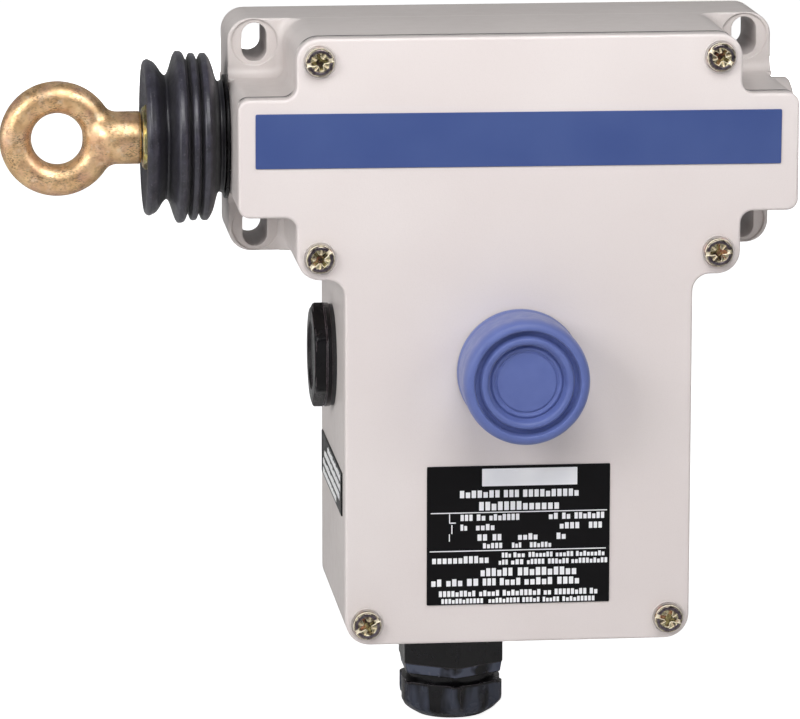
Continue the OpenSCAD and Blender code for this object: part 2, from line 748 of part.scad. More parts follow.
// --- pull line ---
module eye_bolt() {
    root_x = eye_x + eye_r + 4.2;
    color("goldenrod") translate([0, -axis_d, 0]) difference() {
        union() {
            translate([eye_x, 0, 0]) rotate([90, 0, 0])
                rotate_extrude() translate([eye_r, 0]) circle(eye_bar_r);
            // neck with a ball where it meets the ring, and its small fillets in the ring's plane
            translate([root_x, 0, 0]) {
                sphere(d = neck_d);
                rotate([0, 90, 0]) cylinder(d = neck_d, h = neck_x - neck_bevel - root_x);
            }
            intersection() {
                translate([eye_x + eye_r - 2, 0, 0]) rotate([0, 90, 0])
                    cylinder(r1 = neck_d / 2 + 4, r2 = neck_d / 2, h = 7.4);
                translate([eye_x, -eye_bar_r * 0.8, -eye_r]) cube([2 * eye_r, eye_bar_r * 1.6, 2 * eye_r]);
            }
            translate([neck_x - neck_bevel, 0, 0]) rotate([0, 90, 0])
                cylinder(r1 = neck_d / 2, r2 = neck_d / 2 - neck_bevel, h = neck_bevel);
        }
        translate([neck_x - thread_reach - past, 0, 0]) rotate([0, 90, 0])
            cylinder(r = thread_d / 2 + press_gap, h = thread_reach + 2 * past);
    }
}
module eye_lock_nut() {
    color("gainsboro") on_axis(locknut_x) difference() {
        chamfered_hex(locknut_af, locknut_t, 0.9);
        translate([0, 0, -past]) cylinder(r = thread_d / 2 + press_gap, h = locknut_t + 2 * past);
    }
}
// Rubber bellows: outer skin from the collar to the bead, then the dish, the hub and the inner skin
module bellows() {
    hub_u = -arm_end - hub_x;
    k = hub_u / 20;
    big = bellows_r;
    small = bellows_r - 0.65;
    dip = small - fold_depth;
    t = bellows_t;
    hub_r = thread_d / 2 + 0.1;
    outer = [[1.4, bellows_neck_r], [3, bellows_neck_r], [4.6, small - 2.6], [5.9, small - 0.3],
             [6.8, small], [7.7, small - 0.3], [8.5, dip], [9.3, small - 0.3], [10.2, small],
             [10.9, small - 0.3], [11.7, dip], [12.7, big - 0.55], [14, big], [15.2, big - 0.85],
             [17.6, big - 6.85], [20.6, dish_r - 1.2], [22, dish_r - 0.3], [22.9, dish_r],
             [23.8, dish_r - 0.5], [24.1, dish_r - 1.4], [23.5, dish_r - 2.6], [21, 12], [20, 10.5],
             [20, hub_r]];
    inner = [[18, hub_r], [18, 10.8], [21.5, dish_r - 2.6], [17.6, big - 6.85 - t], [15.1, big - 2.4 - t / 2],
             [14, big - t], [12.9, big - 0.6 - t], [11.7, dip - t], [10.8, small - 0.4 - t],
             [10.2, small - t], [9.4, small - 0.4 - t], [8.5, dip - t], [7.6, small - 0.4 - t],
             [6.8, small - t], [6, small - 0.4 - t], [5.2, small - 3.5 - t / 2], [4.4, bellows_neck_r - t],
             [1.4, bellows_neck_r - t]];
    color("darkslategray") translate([-arm_end, -axis_d, 0]) rotate([0, -90, 0]) rotate_extrude()
        polygon([for (p = concat(outer, inner)) [p[1], p[0] * k]]);
}
module bellows_washer() {
    color("silver") on_axis(washer_x) tube(thread_d / 2 + press_gap, washer_r, washer_t);
}
module bellows_collar() {
    color("black") on_axis(-arm_end) difference() {
        union() {
            cylinder(r = bush_d / 2 - press_gap, h = spigot_in);
            translate([0, 0, -collar_t]) cylinder(r = collar_r, h = collar_t);
            translate([0, 0, -collar_t - spigot_l]) cylinder(r = spigot_r, h = spigot_l + collar_t);
        }
        translate([0, 0, -collar_t - spigot_l - past])
            cylinder(r = shaft_room_r, h = collar_t + spigot_l + spigot_in + 2 * past);
    }
}
module pull_shaft() {
    color("silver") difference() {
        union() {
            on_axis(neck_x - thread_reach)
                cylinder(d = thread_d, h = shoulder_x - neck_x + thread_reach + past);
            on_axis(shoulder_x) cylinder(d = shaft_d, h = shaft_end - shoulder_x);
            on_axis(bush_face - free_gap - stop_l) cylinder(d = stop_d, h = stop_l);
        }
        on_axis(circlip_x - running_gap)
            tube(shaft_d / 2 - circlip_groove, shaft_d, circlip_t + 2 * running_gap);
        facing(pin_x, 0, axis_d - shaft_d) cylinder(d = drive_pin_d, h = 2 * shaft_d);
    }
}
module bush() {
    on_axis(bush_face) difference() {
        union() {
            cylinder(d = bush_flange_d, h = bush_flange_t);
            cylinder(r = bush_d / 2 - press_gap, h = bush_flange_t + bush_l);
        }
        translate([0, 0, -past]) cylinder(r = shaft_bore_r, h = bush_flange_t + bush_l + 2 * past);
    }
}
module front_bush() {
    color("darkkhaki") mirror([1, 0, 0]) bush();
}
module rear_bush() {
    color("darkkhaki") bush();
}
module end_cap() {
    r = cap_d / 2;
    round_r = 1.5;
    color("lightgrey") on_axis(arm_end) difference() {
        union() {
            rotate_extrude() {
                square([r - round_r, cap_h]);
                square([r, cap_h - round_r]);
                translate([r - round_r, cap_h - round_r]) circle(round_r);
            }
            translate([0, 0, -spigot_in]) cylinder(r = bush_d / 2 - press_gap, h = spigot_in + bite);
        }
        translate([0, 0, -spigot_in - past]) cylinder(r = shaft_room_r, h = cap_h + spigot_in - 2);
        translate([0, 0, -past]) tube(seal_r - 1, seal_r + 1, 2 * seal_bar_r + past);
    }
}
module end_cap_seal() {
    color("black") on_axis(arm_end + seal_bar_r) rotate_extrude() translate([seal_r, 0]) circle(seal_bar_r);
}
module pull_spring() {
    color("silver") on_axis(-bush_face)
        spring(pull_spring_r, pull_wire, collar_x + bush_face, pull_turns, 8, 18);
}
module spring_collar() {
    color("silver") on_axis(collar_x) tube(shaft_d / 2 + press_gap, spring_collar_d / 2, spring_collar_t);
}
module spring_circlip() {
    color("dimgray") on_axis(circlip_x)
        circlip(shaft_d / 2 - circlip_groove + running_gap, shaft_d / 2 + circlip_reach, circlip_t);
}
module drive_pin() {
    reach = cheek_offset + cheek_t + 1;
    color("silver") facing(pin_x, 0, axis_d - reach) cylinder(r = drive_pin_d / 2 - 0.02, h = 2 * reach);
}

// --- trip lever and its frame ---
// One fork of the lever, from the pivot up to a pin at a distance
module fork(reach) {
    slot_r = drive_pin_d / 2 + fork_gap;
    slot_end = reach - 0.9;
    difference() {
        union() {
            circle(d = hub_d);
            polygon([[1 - hub_d / 2, 0], [hub_d / 2 - 1, 0],
                     [fork_w / 2, reach - 10], [-fork_w / 2, reach - 10]]);
            translate([-fork_w / 2, reach - 10.5]) square([fork_w, 15.5]);
        }
        translate([0, slot_end]) circle(slot_r);
        translate([-slot_r, slot_end]) square([2 * slot_r, 10]);
    }
}
module trip_lever() {
    hub_d0 = frame_d0 + frame_t + free_gap;
    hub_len = frame_d - 2 * frame_t - 2 * free_gap;
    color("sandybrown") translate([0, 0, -pivot_drop]) rotate([0, lever_lean, 0]) difference() {
        union() {
            slab(hub_d0, hub_len) circle(d = hub_d);
            for (d = [cheek_d - cheek_t, axis_d + cheek_offset]) slab(d, cheek_t) fork(pivot_drop);
            slab(axis_d - lower_fork_t / 2, lower_fork_t) mirror([0, 1]) fork(slide_arm);
        }
        slab(hub_d0 - past, hub_len + 2 * past) circle(r = pivot_d / 2 + running_gap);
    }
}
module lever_pivot_pin() {
    color("silver") facing(0, -pivot_drop, frame_d0 - 1) {
        cylinder(r = pivot_d / 2 - press_gap, h = frame_d + 2);
        cylinder(d = pivot_d + 2, h = 1);
        translate([0, 0, frame_d + 1]) cylinder(d = pivot_d + 3, h = 2);
    }
}
module lever_frame() {
    color("slategray") difference() {
        translate([-frame_w / 2, -frame_d1, -pivot_drop - frame_h / 2]) cube([frame_w, frame_d, frame_h]);
        translate([-frame_w / 2 + frame_t, -frame_d1 + frame_t, -pivot_drop - frame_h])
            cube([frame_w - 2 * frame_t, frame_d - 2 * frame_t, 2 * frame_h]);
        facing(0, -pivot_drop, frame_d0 - past) cylinder(d = pivot_d, h = frame_d + 2 * past);
        for (x = [-1, 1], z = [-1, 1]) {
            facing(x * frame_screw_x, z * frame_screw_z - pivot_drop, frame_d0 - past)
                cylinder(r = screw_d / 2 + screw_gap, h = frame_t + 2 * past);
            facing(x * frame_screw_x, z * frame_screw_z - pivot_drop, frame_d1 - frame_t - past)
                cylinder(r = screw_head_d / 2 + head_gap, h = frame_t + 2 * past);
        }
    }
}
module frame_screws() {
    color("silver") for (x = [-1, 1], z = [-1, 1])
        facing(x * frame_screw_x, z * frame_screw_z - pivot_drop, frame_d0 + frame_t)
            pan_screw(screw_d - 2 * press_gap, screw_head_d - 0.6, screw_head_h, frame_screw_l);
}

// --- contacts ---
module contact_block() {
    half = contact_w / 2;
    inner_top = slide_top + free_gap;
    strip_z = terminal_z - clamp_w / 2 - 0.4;
    slot_side = strip_w / 2 + press_gap;
    color("saddlebrown") difference() {
        union() {
            slab(block_d0, deck_d - block_d0) translate([-half, block_bottom])
                square([contact_w, inner_top + rail_t - block_bottom]);
            slab(block_d0, block_face - block_d0) {
                translate([-half, block_bottom]) square([contact_w, terminal_h]);
                for (s = [0, 1]) mirror([s, 0]) {
                    translate([post_x, terminal_top - bite])
                        square([post_w, inner_top - terminal_top + 2 * bite]);
                    translate([lever_gap, inner_top]) square([half - lever_gap, rail_t]);
                }
            }
            for (s = [0, 1]) mirror([s, 0]) slab(block_d0, ear_t)
                translate([half - ear_w, inner_top]) square([ear_w, ear_h]);
        }
        for (x = [-1, 1], z = block_screw_z)
            facing(x * block_screw_x, z, block_d0 - past)
                cylinder(r = screw_d / 2 + screw_gap, h = block_face);
        for (x = [-1, 1])
            facing(x * block_screw_x, block_screw_z[0], block_d0 + ear_t)
                cylinder(r = screw_head_d / 2 + 0.2, h = block_face);
        for (x = [-1, 1], z = keeper_screw_z)
            facing(x * keeper_screw_x, z, keeper_face - keeper_screw_l - 1)
                cylinder(d = keeper_screw_d, h = keeper_screw_l);
        for (x = terminal_places) {
            // pocket for the clamp, wire way below it, hole for the screw, slots for the strip
            slab(strip_pad_d, block_face) translate([x - clamp_w / 2 - 0.5, terminal_z - clamp_w / 2 - 1])
                square([clamp_w + 1, clamp_w + 2]);
            slab(strip_pad_d + 2, 5) translate([x - 2.5, block_bottom - past]) square([5, terminal_h / 2]);
            facing(x, terminal_z, strip_pad_d - 8) cylinder(r = terminal_screw_d / 2 + 0.2, h = 9);
            slab(deck_d - press_gap, strip_t + 2 * press_gap) translate([x - slot_side, strip_z - press_gap])
                square([2 * slot_side, terminal_h / 2 + 5]);
            slab(deck_d, strip_pad_d - deck_d + past) translate([x - slot_side, strip_z - press_gap])
                square([2 * slot_side, strip_t + 2 * press_gap]);
        }
    }
}
module block_screws() {
    color("silver") for (x = [-1, 1], z = block_screw_z)
        facing(x * block_screw_x, z, block_d0 + ear_t)
            pan_screw(screw_d - 2 * press_gap, screw_head_d - 0.8, screw_head_h, 11);
}
module fixed_contacts() {
    foot_z = terminal_z - clamp_w / 2 - 0.4;
    color("peru") for (x = terminal_places) difference() {
        union() {
            translate([x - strip_w / 2, 0, foot_z]) {
                slab(deck_d, strip_t) square([strip_w, bridge_z + 3 - foot_z]);
                slab(deck_d, strip_pad_d - deck_d + 0.2) square([strip_w, strip_t]);
            }
            slab(strip_pad_d, 1) translate([x - clamp_w / 2 - 0.2, foot_z]) square(clamp_w + 0.4);
        }
        facing(x, terminal_z, strip_pad_d - past) cylinder(r = terminal_screw_d / 2 + 0.1, h = 2);
    }
}
module terminal_screws() {
    color("silver") for (x = terminal_places) {
        facing(x, terminal_z, strip_pad_d + 1.8) pan_screw(terminal_screw_d, 6.4, 2, 8);
        slab(strip_pad_d + 1, 0.8) translate([x, terminal_z]) difference() {
            square(clamp_w, center = true);
            circle(r = terminal_screw_d / 2 + 0.02);
        }
    }
}
module contact_slide() {
    fork_room = fork_w / 2 + 3.5;
    color("wheat") translate([slide_x, 0, 0]) difference() {
        slab(slide_d0, slide_depth) translate([-slide_w / 2, slide_bottom]) square([slide_w, slide_h]);
        // pocket for the lever's lower fork, and the hole for the pin across it
        slab(axis_d - lower_fork_t / 2 - 1.5, lower_fork_t + 3)
            translate([-fork_room, slide_pin_z - 6.2]) square([2 * fork_room, 20]);
        facing(0, slide_pin_z, slide_d0 + 1) cylinder(d = drive_pin_d, h = slide_depth - 3);
        // groove for the latch's tooth
        slab(slide_d1 - 2, 2 + past) translate([slide_x - tooth_w / 2 - 0.6, tooth_z - 3.2])
            square([slide_travel + tooth_w + 1.2, 5.2]);
        // seats for the bridges
        for (s = [-1, 1]) slab(slide_d0 - past, past + 0.6)
            translate([s * 1.5 * terminal_pitch, bridge_z])
                square([bridge_w + 0.1, bridge_h + 0.1], center = true);
        // lightening pockets
        for (s = [-1, 1]) slab(slide_d0 + 8, slide_depth)
            translate([s * (slide_w / 2 - 8.5), slide_top - 9]) square([9, 10], center = true);
    }
}
module slide_pin() {
    color("silver") facing(slide_x, slide_pin_z, slide_d0 + 1.2)
        cylinder(r = drive_pin_d / 2 - press_gap, h = slide_depth - 3.4);
}
module contact_bridges() {
    color("peru") for (s = [-1, 1]) translate([slide_x + s * 1.5 * terminal_pitch, 0, bridge_z]) {
        slab(slide_d0 - 0.4, 1) square([bridge_w, bridge_h], center = true);
        for (m = [-1, 1]) facing(m * (bridge_w - bridge_h) / 2, 0, slide_d0 - 0.8) cylinder(r = 1.4, h = 0.6);
    }
}
module slide_keeper() {
    color("slategray") difference() {
        union() {
            slab(block_face, keeper_t) translate([-contact_w / 2, terminal_top - rail_t])
                square([contact_w, slide_h + 2 * free_gap + 2 * rail_t]);
            for (s = [0, 1]) mirror([s, 0, 0])
                translate([latch_w / 2 + free_gap, 0, 0]) rotate([90, 0, 90]) linear_extrude(keeper_ear_t) {
                    translate([-latch_d, latch_z]) circle(latch_hub_r);
                    translate([-latch_d, latch_z - latch_hub_r])
                        square([latch_d - block_face - 0.1, 2 * latch_hub_r]);
                }
            facing(0, seat_z, block_face) cylinder(r = latch_spring_r - 0.7, h = keeper_t + 2);
        }
        slab(block_face - past, keeper_t + 2 * past) translate([-tooth_w / 2 - 1.5, tooth_z - 5.2])
            square([tooth_w + 3, 7.8]);
        translate([-contact_w / 2, -latch_d, latch_z]) rotate([0, 90, 0])
            cylinder(d = latch_pin_d, h = contact_w);
        for (x = [-1, 1], z = keeper_screw_z)
            facing(x * keeper_screw_x, z, block_face - past)
                cylinder(r = keeper_screw_d / 2 + 0.2, h = keeper_t + 2 * past);
    }
}
module keeper_screws() {
    color("silver") for (x = [-1, 1], z = keeper_screw_z)
        facing(x * keeper_screw_x, z, keeper_face)
            pan_screw(keeper_screw_d - 2 * press_gap, 5.6, 1.8, keeper_screw_l);
}

// --- latch ---
module latch() {
    root_d = latch_d + latch_hub_r;
    tooth_top = tooth_z - tooth_h / 2;
    color("darkorange") difference() {
        union() {
            translate([-latch_w / 2, 0, 0]) rotate([90, 0, 90]) linear_extrude(latch_w) {
                translate([-latch_d, latch_z]) circle(latch_hub_r);
                translate([-nose_d, nose_z]) circle(nose_r);
                polygon([[0.4 - root_d, latch_z], [0.1 - nose_d - nose_r, nose_z - 0.6], [-nose_d, nose_z],
                         [-seat_d, nose_z], [-seat_d, seat_z - 3], [latch_hub_r - 0.4 - latch_d, latch_z]]);
            }
            translate([-tooth_w / 2, 0, 0]) rotate([90, 0, 90]) linear_extrude(tooth_w) {
                polygon([[0.5 - root_d, latch_z], [-latch_d - 2.5, tooth_top], [2.5 - latch_d, tooth_top],
                         [latch_hub_r - 0.5 - latch_d, latch_z]]);
                translate([-latch_d - 1, tooth_top]) square([latch_d + 1 - tooth_tip_d, tooth_h]);
            }
        }
        translate([-latch_w / 2 - past, -latch_d, latch_z]) rotate([0, 90, 0])
            cylinder(r = latch_pin_d / 2 + running_gap, h = latch_w + 2 * past);
    }
}
module latch_pin() {
    reach = latch_w / 2 + free_gap + keeper_ear_t + 1;
    color("silver") translate([-reach, -latch_d, latch_z]) rotate([0, 90, 0])
        cylinder(r = latch_pin_d / 2 - press_gap, h = 2 * reach);
}
module latch_spring() {
    color("silver") facing(0, seat_z, keeper_face) spring(latch_spring_r, 0.6, seat_d - keeper_face, 5);
}

// --- reset button: radius and height in front of the cover ---
module at_button() {
    facing(0, reset_z, cover_d1) children();
}
module reset_boot() {
    r = boot_r;
    h = boot_h;
    base = boot_base_r - boot_t;
    under = h - boot_recess - boot_face_t;
    color("royalblue") at_button() rotate_extrude()
        polygon([[boot_base_r, bezel_t], [r, h - 3.4], [r - 0.3, h - 1.5], [r - 0.9, h - 0.5], [r - 1.8, h],
                 [ring_rs[0], h - 0.1], [ring_rs[0] - 0.5, h - 1.8], [ring_rs[1], h - 2],
                 [ring_rs[2], h - 0.5], [ring_rs[2] - 0.9, h - 0.2], [ring_rs[3] + 0.5, h - 0.3],
                 [ring_rs[3], h - boot_recess + 0.3], [ring_rs[4] + 0.3, h - boot_recess],
                 [0, h - boot_recess], [0, under], [rest_r, under], [rest_r, h - 3], [base - 0.3, h - 3],
                 [base, h - 4.5], [base, bezel_t]]);
}
module reset_bezel() {
    collar = boot_base_r - boot_t - free_gap;
    sleeve = bezel_sleeve_r;
    spring_room = reset_spring_r + 2;
    color("black") at_button() rotate_extrude()
        polygon([[stem_bore_r, sleeve_end], [sleeve, sleeve_end], [sleeve, 0], [bezel_r, 0],
                 [bezel_r, bezel_t], [collar, bezel_t], [collar, 7.2], [collar - 1.7, 7.2],
                 [collar - 1.7, bezel_t],
                 [spring_room, bezel_t], [spring_room, -1.5], [stem_bore_r, -1.5]]);
}
module reset_nut() {
    color("black") facing(0, reset_z, cover_d0 - nut_t) difference() {
        tube(bezel_sleeve_r + press_gap, nut_d / 2, nut_t);
        for (a = [0:60:300]) rotate(a)
            translate([nut_d / 2 - 1.2, -1.5, -past]) cube([3, 3, nut_t + 2 * past]);
    }
}
module reset_plunger() {
    inner = rest_r + free_gap;
    rim_h = boot_h - 3 - free_gap;
    floor_h = boot_h - boot_recess - boot_face_t - free_gap;
    color("dimgray") at_button() difference() {
        rotate_extrude()
            polygon([[0, stem_end], [stem_d / 2, stem_end], [stem_d / 2, 12], [skirt_r - 2.7, 12],
                     [skirt_r - 2.7, 7.5], [skirt_r, 7.5], [skirt_r, 12.6], [head_r, 12.6],
                     [head_r, rim_h], [inner, rim_h], [inner, floor_h], [0, floor_h]]);
        translate([0, 0, sleeve_end - free_gap - circlip_t - running_gap])
            tube(stem_d / 2 - circlip_groove, stem_d, circlip_t + 2 * running_gap);
    }
}
module reset_spring() {
    color("silver") facing(0, reset_z, cover_d1 - 1.5) spring(reset_spring_r, 1.2, 13.5, 5, 6, 16);
}
module reset_circlip() {
    color("dimgray") at_button() translate([0, 0, sleeve_end - free_gap - circlip_t])
        circlip(stem_d / 2 - circlip_groove + running_gap, stem_d / 2 + circlip_reach, circlip_t);
}

// --- cable entries ---
module at_gland(z) {
    translate([-gland_offset, -entry_depth, z]) children();
}
module gland_body() {
    hex_h = gland_hex_h - ring_t;
    color("black") difference() {
        union() {
            at_gland(gland_hex_z + gland_band_h) rotate(30)
                linear_extrude(hex_h - gland_band_h) hexagon(gland_af);
            at_gland(gland_hex_z) rotate(30) linear_extrude(gland_band_h + bite) hexagon(gland_af - 1);
            at_gland(gland_z - ring_t - 0.5) cylinder(r = entry_r - press_gap, h = ring_t + 10);
            at_gland(gland_hex_z - 8) cylinder(r = gland_thread_r, h = 9);
        }
        at_gland(gland_hex_z - 9) cylinder(r = gland_bore_d / 2 + 1.5, h = gland_hex_h + 30);
        at_gland(gland_hex_z - 9) cylinder(r = gland_seal_r + 0.1, h = 11.5);
    }
}
module gland_seal() {
    color("dimgray") at_gland(gland_seal_z) tube(gland_bore_d / 2, gland_seal_r, gland_seal_l);
}
// Domed cap nut: a hexagon with a grip rib on each corner
module gland_cap() {
    rib = gland_af / cos(30) / 2;
    color("black") difference() {
        at_gland(gland_end) rotate(30) intersection() {
            linear_extrude(gland_cap_h) union() {
                circle(r = gland_af / 2 - 0.1);
                hexagon(gland_af - 1.6);
                for (a = [0:60:300]) rotate(a) translate([rib - 5, -1.5]) square([4.2, 3]);
            }
            rotate_extrude() polygon([[0, 0], [gland_af / 2 - 4, 0], [gland_af / 2 - 1.4, 1.6],
                                      [rib - 1.1, 4.2], [rib, 6.6], [rib, gland_cap_h], [0, gland_cap_h]]);
        }
        at_gland(gland_end - past) cylinder(r = gland_bore_d / 2 + 1.6, h = 10);
        at_gland(gland_seal_z - 0.1) cylinder(r = gland_thread_r + press_gap, h = gland_cap_h);
    }
}
module gland_ring() {
    color("dimgray") at_gland(gland_z - ring_t) tube(entry_r, gland_af / 2 - 1, ring_t);
}
// Blanking plug in the left wall, screwed in from outside
module blanking_plug() {
    color("black") translate([wall_x, -entry_depth, plug_z]) rotate([0, -90, 0]) difference() {
        union() {
            translate([0, 0, ring_t]) cylinder(r = plug_af / 2 + 1.6, h = plug_flange_t);
            translate([0, 0, ring_t]) rotate(-1) chamfered_hex(plug_af, plug_h - ring_t, 1);
            translate([0, 0, -wall - 2]) cylinder(r = entry_r - press_gap, h = wall + 3.5);
        }
        translate([0, 0, -wall - 3]) cylinder(r = entry_r - 2, h = wall + 4.5);
    }
}
module plug_ring() {
    color("dimgray") translate([wall_x - ring_t, -entry_depth, plug_z]) rotate([0, 90, 0])
        tube(entry_r, plug_af / 2 + 1.2, ring_t);
}
module earth_screw() {
    color("gold") facing(earth_x, earth_z, earth_d) {
        translate([0, 0, 1]) pan_screw(screw_d - 2 * press_gap, screw_head_d - 0.6, screw_head_h, 9);
        linear_extrude(1) difference() {
            square(9, center = true);
            circle(r = screw_d / 2);
        }
    }
}

housing();
cover();
cover_gasket();
cover_screws();
band_label();
data_plate();
side_label();
eye_bolt();
eye_lock_nut();
bellows();
bellows_washer();
bellows_collar();
pull_shaft();
front_bush();
rear_bush();
end_cap();
end_cap_seal();
pull_spring();
spring_collar();
spring_circlip();
drive_pin();
trip_lever();
lever_pivot_pin();
lever_frame();
frame_screws();
contact_block();
block_screws();
fixed_contacts();
terminal_screws();
contact_slide();
slide_pin();
contact_bridges();
slide_keeper();
keeper_screws();
latch();
latch_pin();
latch_spring();
reset_boot();
reset_bezel();
reset_nut();
reset_plunger();
reset_spring();
reset_circlip();
gland_body();
gland_seal();
gland_cap();
gland_ring();
blanking_plug();
plug_ring();
earth_screw();
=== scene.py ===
import bmesh
import bpy
import numpy as np
from mathutils import Matrix


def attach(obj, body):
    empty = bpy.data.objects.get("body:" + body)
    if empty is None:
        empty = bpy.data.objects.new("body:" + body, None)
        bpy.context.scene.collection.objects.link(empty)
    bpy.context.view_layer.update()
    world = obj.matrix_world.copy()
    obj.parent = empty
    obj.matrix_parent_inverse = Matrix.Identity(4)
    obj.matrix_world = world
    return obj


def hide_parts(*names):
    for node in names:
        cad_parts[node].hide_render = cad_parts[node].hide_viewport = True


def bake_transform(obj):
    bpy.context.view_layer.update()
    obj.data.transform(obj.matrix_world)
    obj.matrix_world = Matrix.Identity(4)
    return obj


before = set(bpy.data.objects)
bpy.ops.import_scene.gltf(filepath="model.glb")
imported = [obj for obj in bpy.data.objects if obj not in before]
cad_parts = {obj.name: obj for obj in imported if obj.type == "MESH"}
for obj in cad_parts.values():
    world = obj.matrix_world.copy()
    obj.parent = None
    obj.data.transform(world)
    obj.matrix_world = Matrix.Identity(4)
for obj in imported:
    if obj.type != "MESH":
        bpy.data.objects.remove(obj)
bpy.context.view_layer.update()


# Camera: a long studio lens, so that the walls hardly run together. It stands a metre and a half in front of the
# switch, a little to its left and a little above it, and is level but for a hair.
turn_left, tilt_down, roll = np.radians([6.047, 11.10, 0.059])
sensor, focal_share = 36, 6.5
to_right, to_top, far_off = 26.101, 71.308, 1533.03
looking = np.array([np.sin(turn_left) * np.cos(tilt_down), np.cos(turn_left) * np.cos(tilt_down),
                    -np.sin(tilt_down)])
level = np.cross(looking, [0, 0, 1])
level /= np.linalg.norm(level)
upward = np.cross(level, looking)
right = np.cos(roll) * level + np.sin(roll) * upward
upward = np.cos(roll) * upward - np.sin(roll) * level
lens = bpy.data.cameras.new("studio_lens")
lens.sensor_width, lens.lens = sensor, sensor * focal_share
lens.clip_start, lens.clip_end = 0.05, 40
camera = bpy.data.objects.new("camera", lens)
stand = -(to_right * right + to_top * upward + far_off * looking) / 1000
camera.matrix_world = Matrix([[right[i], upward[i], -looking[i], stand[i]] for i in range(3)] + [[0, 0, 0, 1]])
bpy.context.scene.collection.objects.link(camera)
bpy.context.scene.camera = camera
bpy.context.scene.view_settings.view_transform = "Standard"


# Studio: the switch stands on its gland, on white paper in a white room. Rectangles of cloth over lamps light it
# softly from the left, from the left wall's side, from close above, from the right and from low down behind.
floor_level = -170.8


def srgb(r, g, b):
    """A screen colour of 0 to 255 as the linear light that the nodes take: a straight part near black, then the
    power 2.4."""
    c = np.array([r, g, b]) / 255
    c = np.where(c <= 0.04045, c / 12.92, ((c + 0.055) / 1.055) ** 2.4)
    return (*c.tolist(), 1.0)


def wire(tree, kind, inputs=(), **settings):
    """Adds one node to a material: settings are its own choices, and inputs its sockets, each a value or another
    output."""
    node = tree.nodes.new("ShaderNode" + kind)
    for key, value in settings.items():
        setattr(node, key, value)
    for key, value in dict(inputs).items():
        if isinstance(value, bpy.types.NodeSocket):
            tree.links.new(value, node.inputs[key])
        else:
            node.inputs[key].default_value = value
    return node


def reckon(tree, how, *numbers):
    """One sum in a material, such as ADD or MULTIPLY, over numbers or other nodes' outputs."""
    return wire(tree, "Math", dict(enumerate(numbers)), operation=how).outputs[0]


def skin(name, grids, sharp=35, along=False):
    """A mesh over grids of points, in millimetres. Rows run along the piece and columns go round it, the last
    column joined to the first; along joins the last row to the first too. Each grid is turned outwards by the sign
    of the volume it holds, rows that shrink to a point become poles, and edges over the sharp angle stay crisp."""
    points, faces, start = [], [], 0
    for grid in grids:
        rows, columns = grid.shape[:2]
        r, c = np.meshgrid(np.arange(rows if along else rows - 1), np.arange(columns), indexing="ij")
        r1, c1 = (r + 1) % rows, (c + 1) % columns
        quads = np.stack([r * columns + c, r * columns + c1, r1 * columns + c1, r1 * columns + c], -1).reshape(-1,
                                                                                                               4)
        flat = grid.reshape(-1, 3) / 1000
        a, b, d, e = (flat[quads[:, k]] - flat.mean(0) for k in range(4))
        if (np.einsum("ij,ij->i", a, np.cross(b, d)) + np.einsum("ij,ij->i", a, np.cross(d, e))).sum() < 0:
            quads = quads[:, ::-1]
        points.append(flat)
        faces.append(quads + start)
        start += len(flat)
    mesh = bpy.data.meshes.new(name)
    mesh.from_pydata(np.vstack(points).tolist(), [], np.vstack(faces).tolist())
    merged = bmesh.new()
    merged.from_mesh(mesh)
    bmesh.ops.remove_doubles(merged, verts=merged.verts, dist=2e-6)
    bmesh.ops.dissolve_degenerate(merged, edges=merged.edges, dist=1e-6)
    merged.to_mesh(mesh)
    merged.free()
    mesh.shade_smooth()
    mesh.set_sharp_from_angle(angle=np.radians(sharp))
    piece = bpy.data.objects.new(name, mesh)
    bpy.context.scene.collection.objects.link(piece)
    return piece


def floor_sheet():
    """A wide round sheet: rings of points at one height, each after the first two twice as wide as the one
    before."""
    ring = np.array([0, 0.5, 1, 2, 4, 8]) * 1000
    angle = np.linspace(0, 2 * np.pi, 64, endpoint=False)
    x, y = np.outer(ring, np.cos(angle)), np.outer(ring, np.sin(angle))
    grid = np.stack([x, y, np.full_like(x, floor_level)], -1)
    return grid[:, ::-1]


floor = skin("floor", [floor_sheet()])
if floor.data.polygons[0].normal.z < 0:
    floor.data.flip_normals()
paper = bpy.data.materials.new("white_paper")
paper.use_nodes = True
tree = paper.node_tree
tree.nodes.clear()
seen = wire(tree, "LightPath").outputs["Is Camera Ray"]
grain = wire(tree, "TexNoise", {"Vector": wire(tree, "TexCoord").outputs["Object"], "Scale": 3, "Detail": 2})
cloth = wire(tree, "BsdfDiffuse", {"Color": srgb(238, 238, 238)})
glow = wire(tree, "Emission", {"Color": (1, 1, 1, 1), "Strength": reckon(tree, "MULTIPLY", seen, 0.9)})
both = wire(tree, "AddShader", {0: cloth.outputs[0], 1: glow.outputs[0]})
from_below, clear = wire(tree, "NewGeometry").outputs["Backfacing"], wire(tree, "BsdfTransparent")
under = wire(tree, "MixShader", {0: from_below, 1: both.outputs[0], 2: clear.outputs[0]})
wire(tree, "OutputMaterial", {"Surface": under.outputs[0]})
floor.data.materials.append(paper)

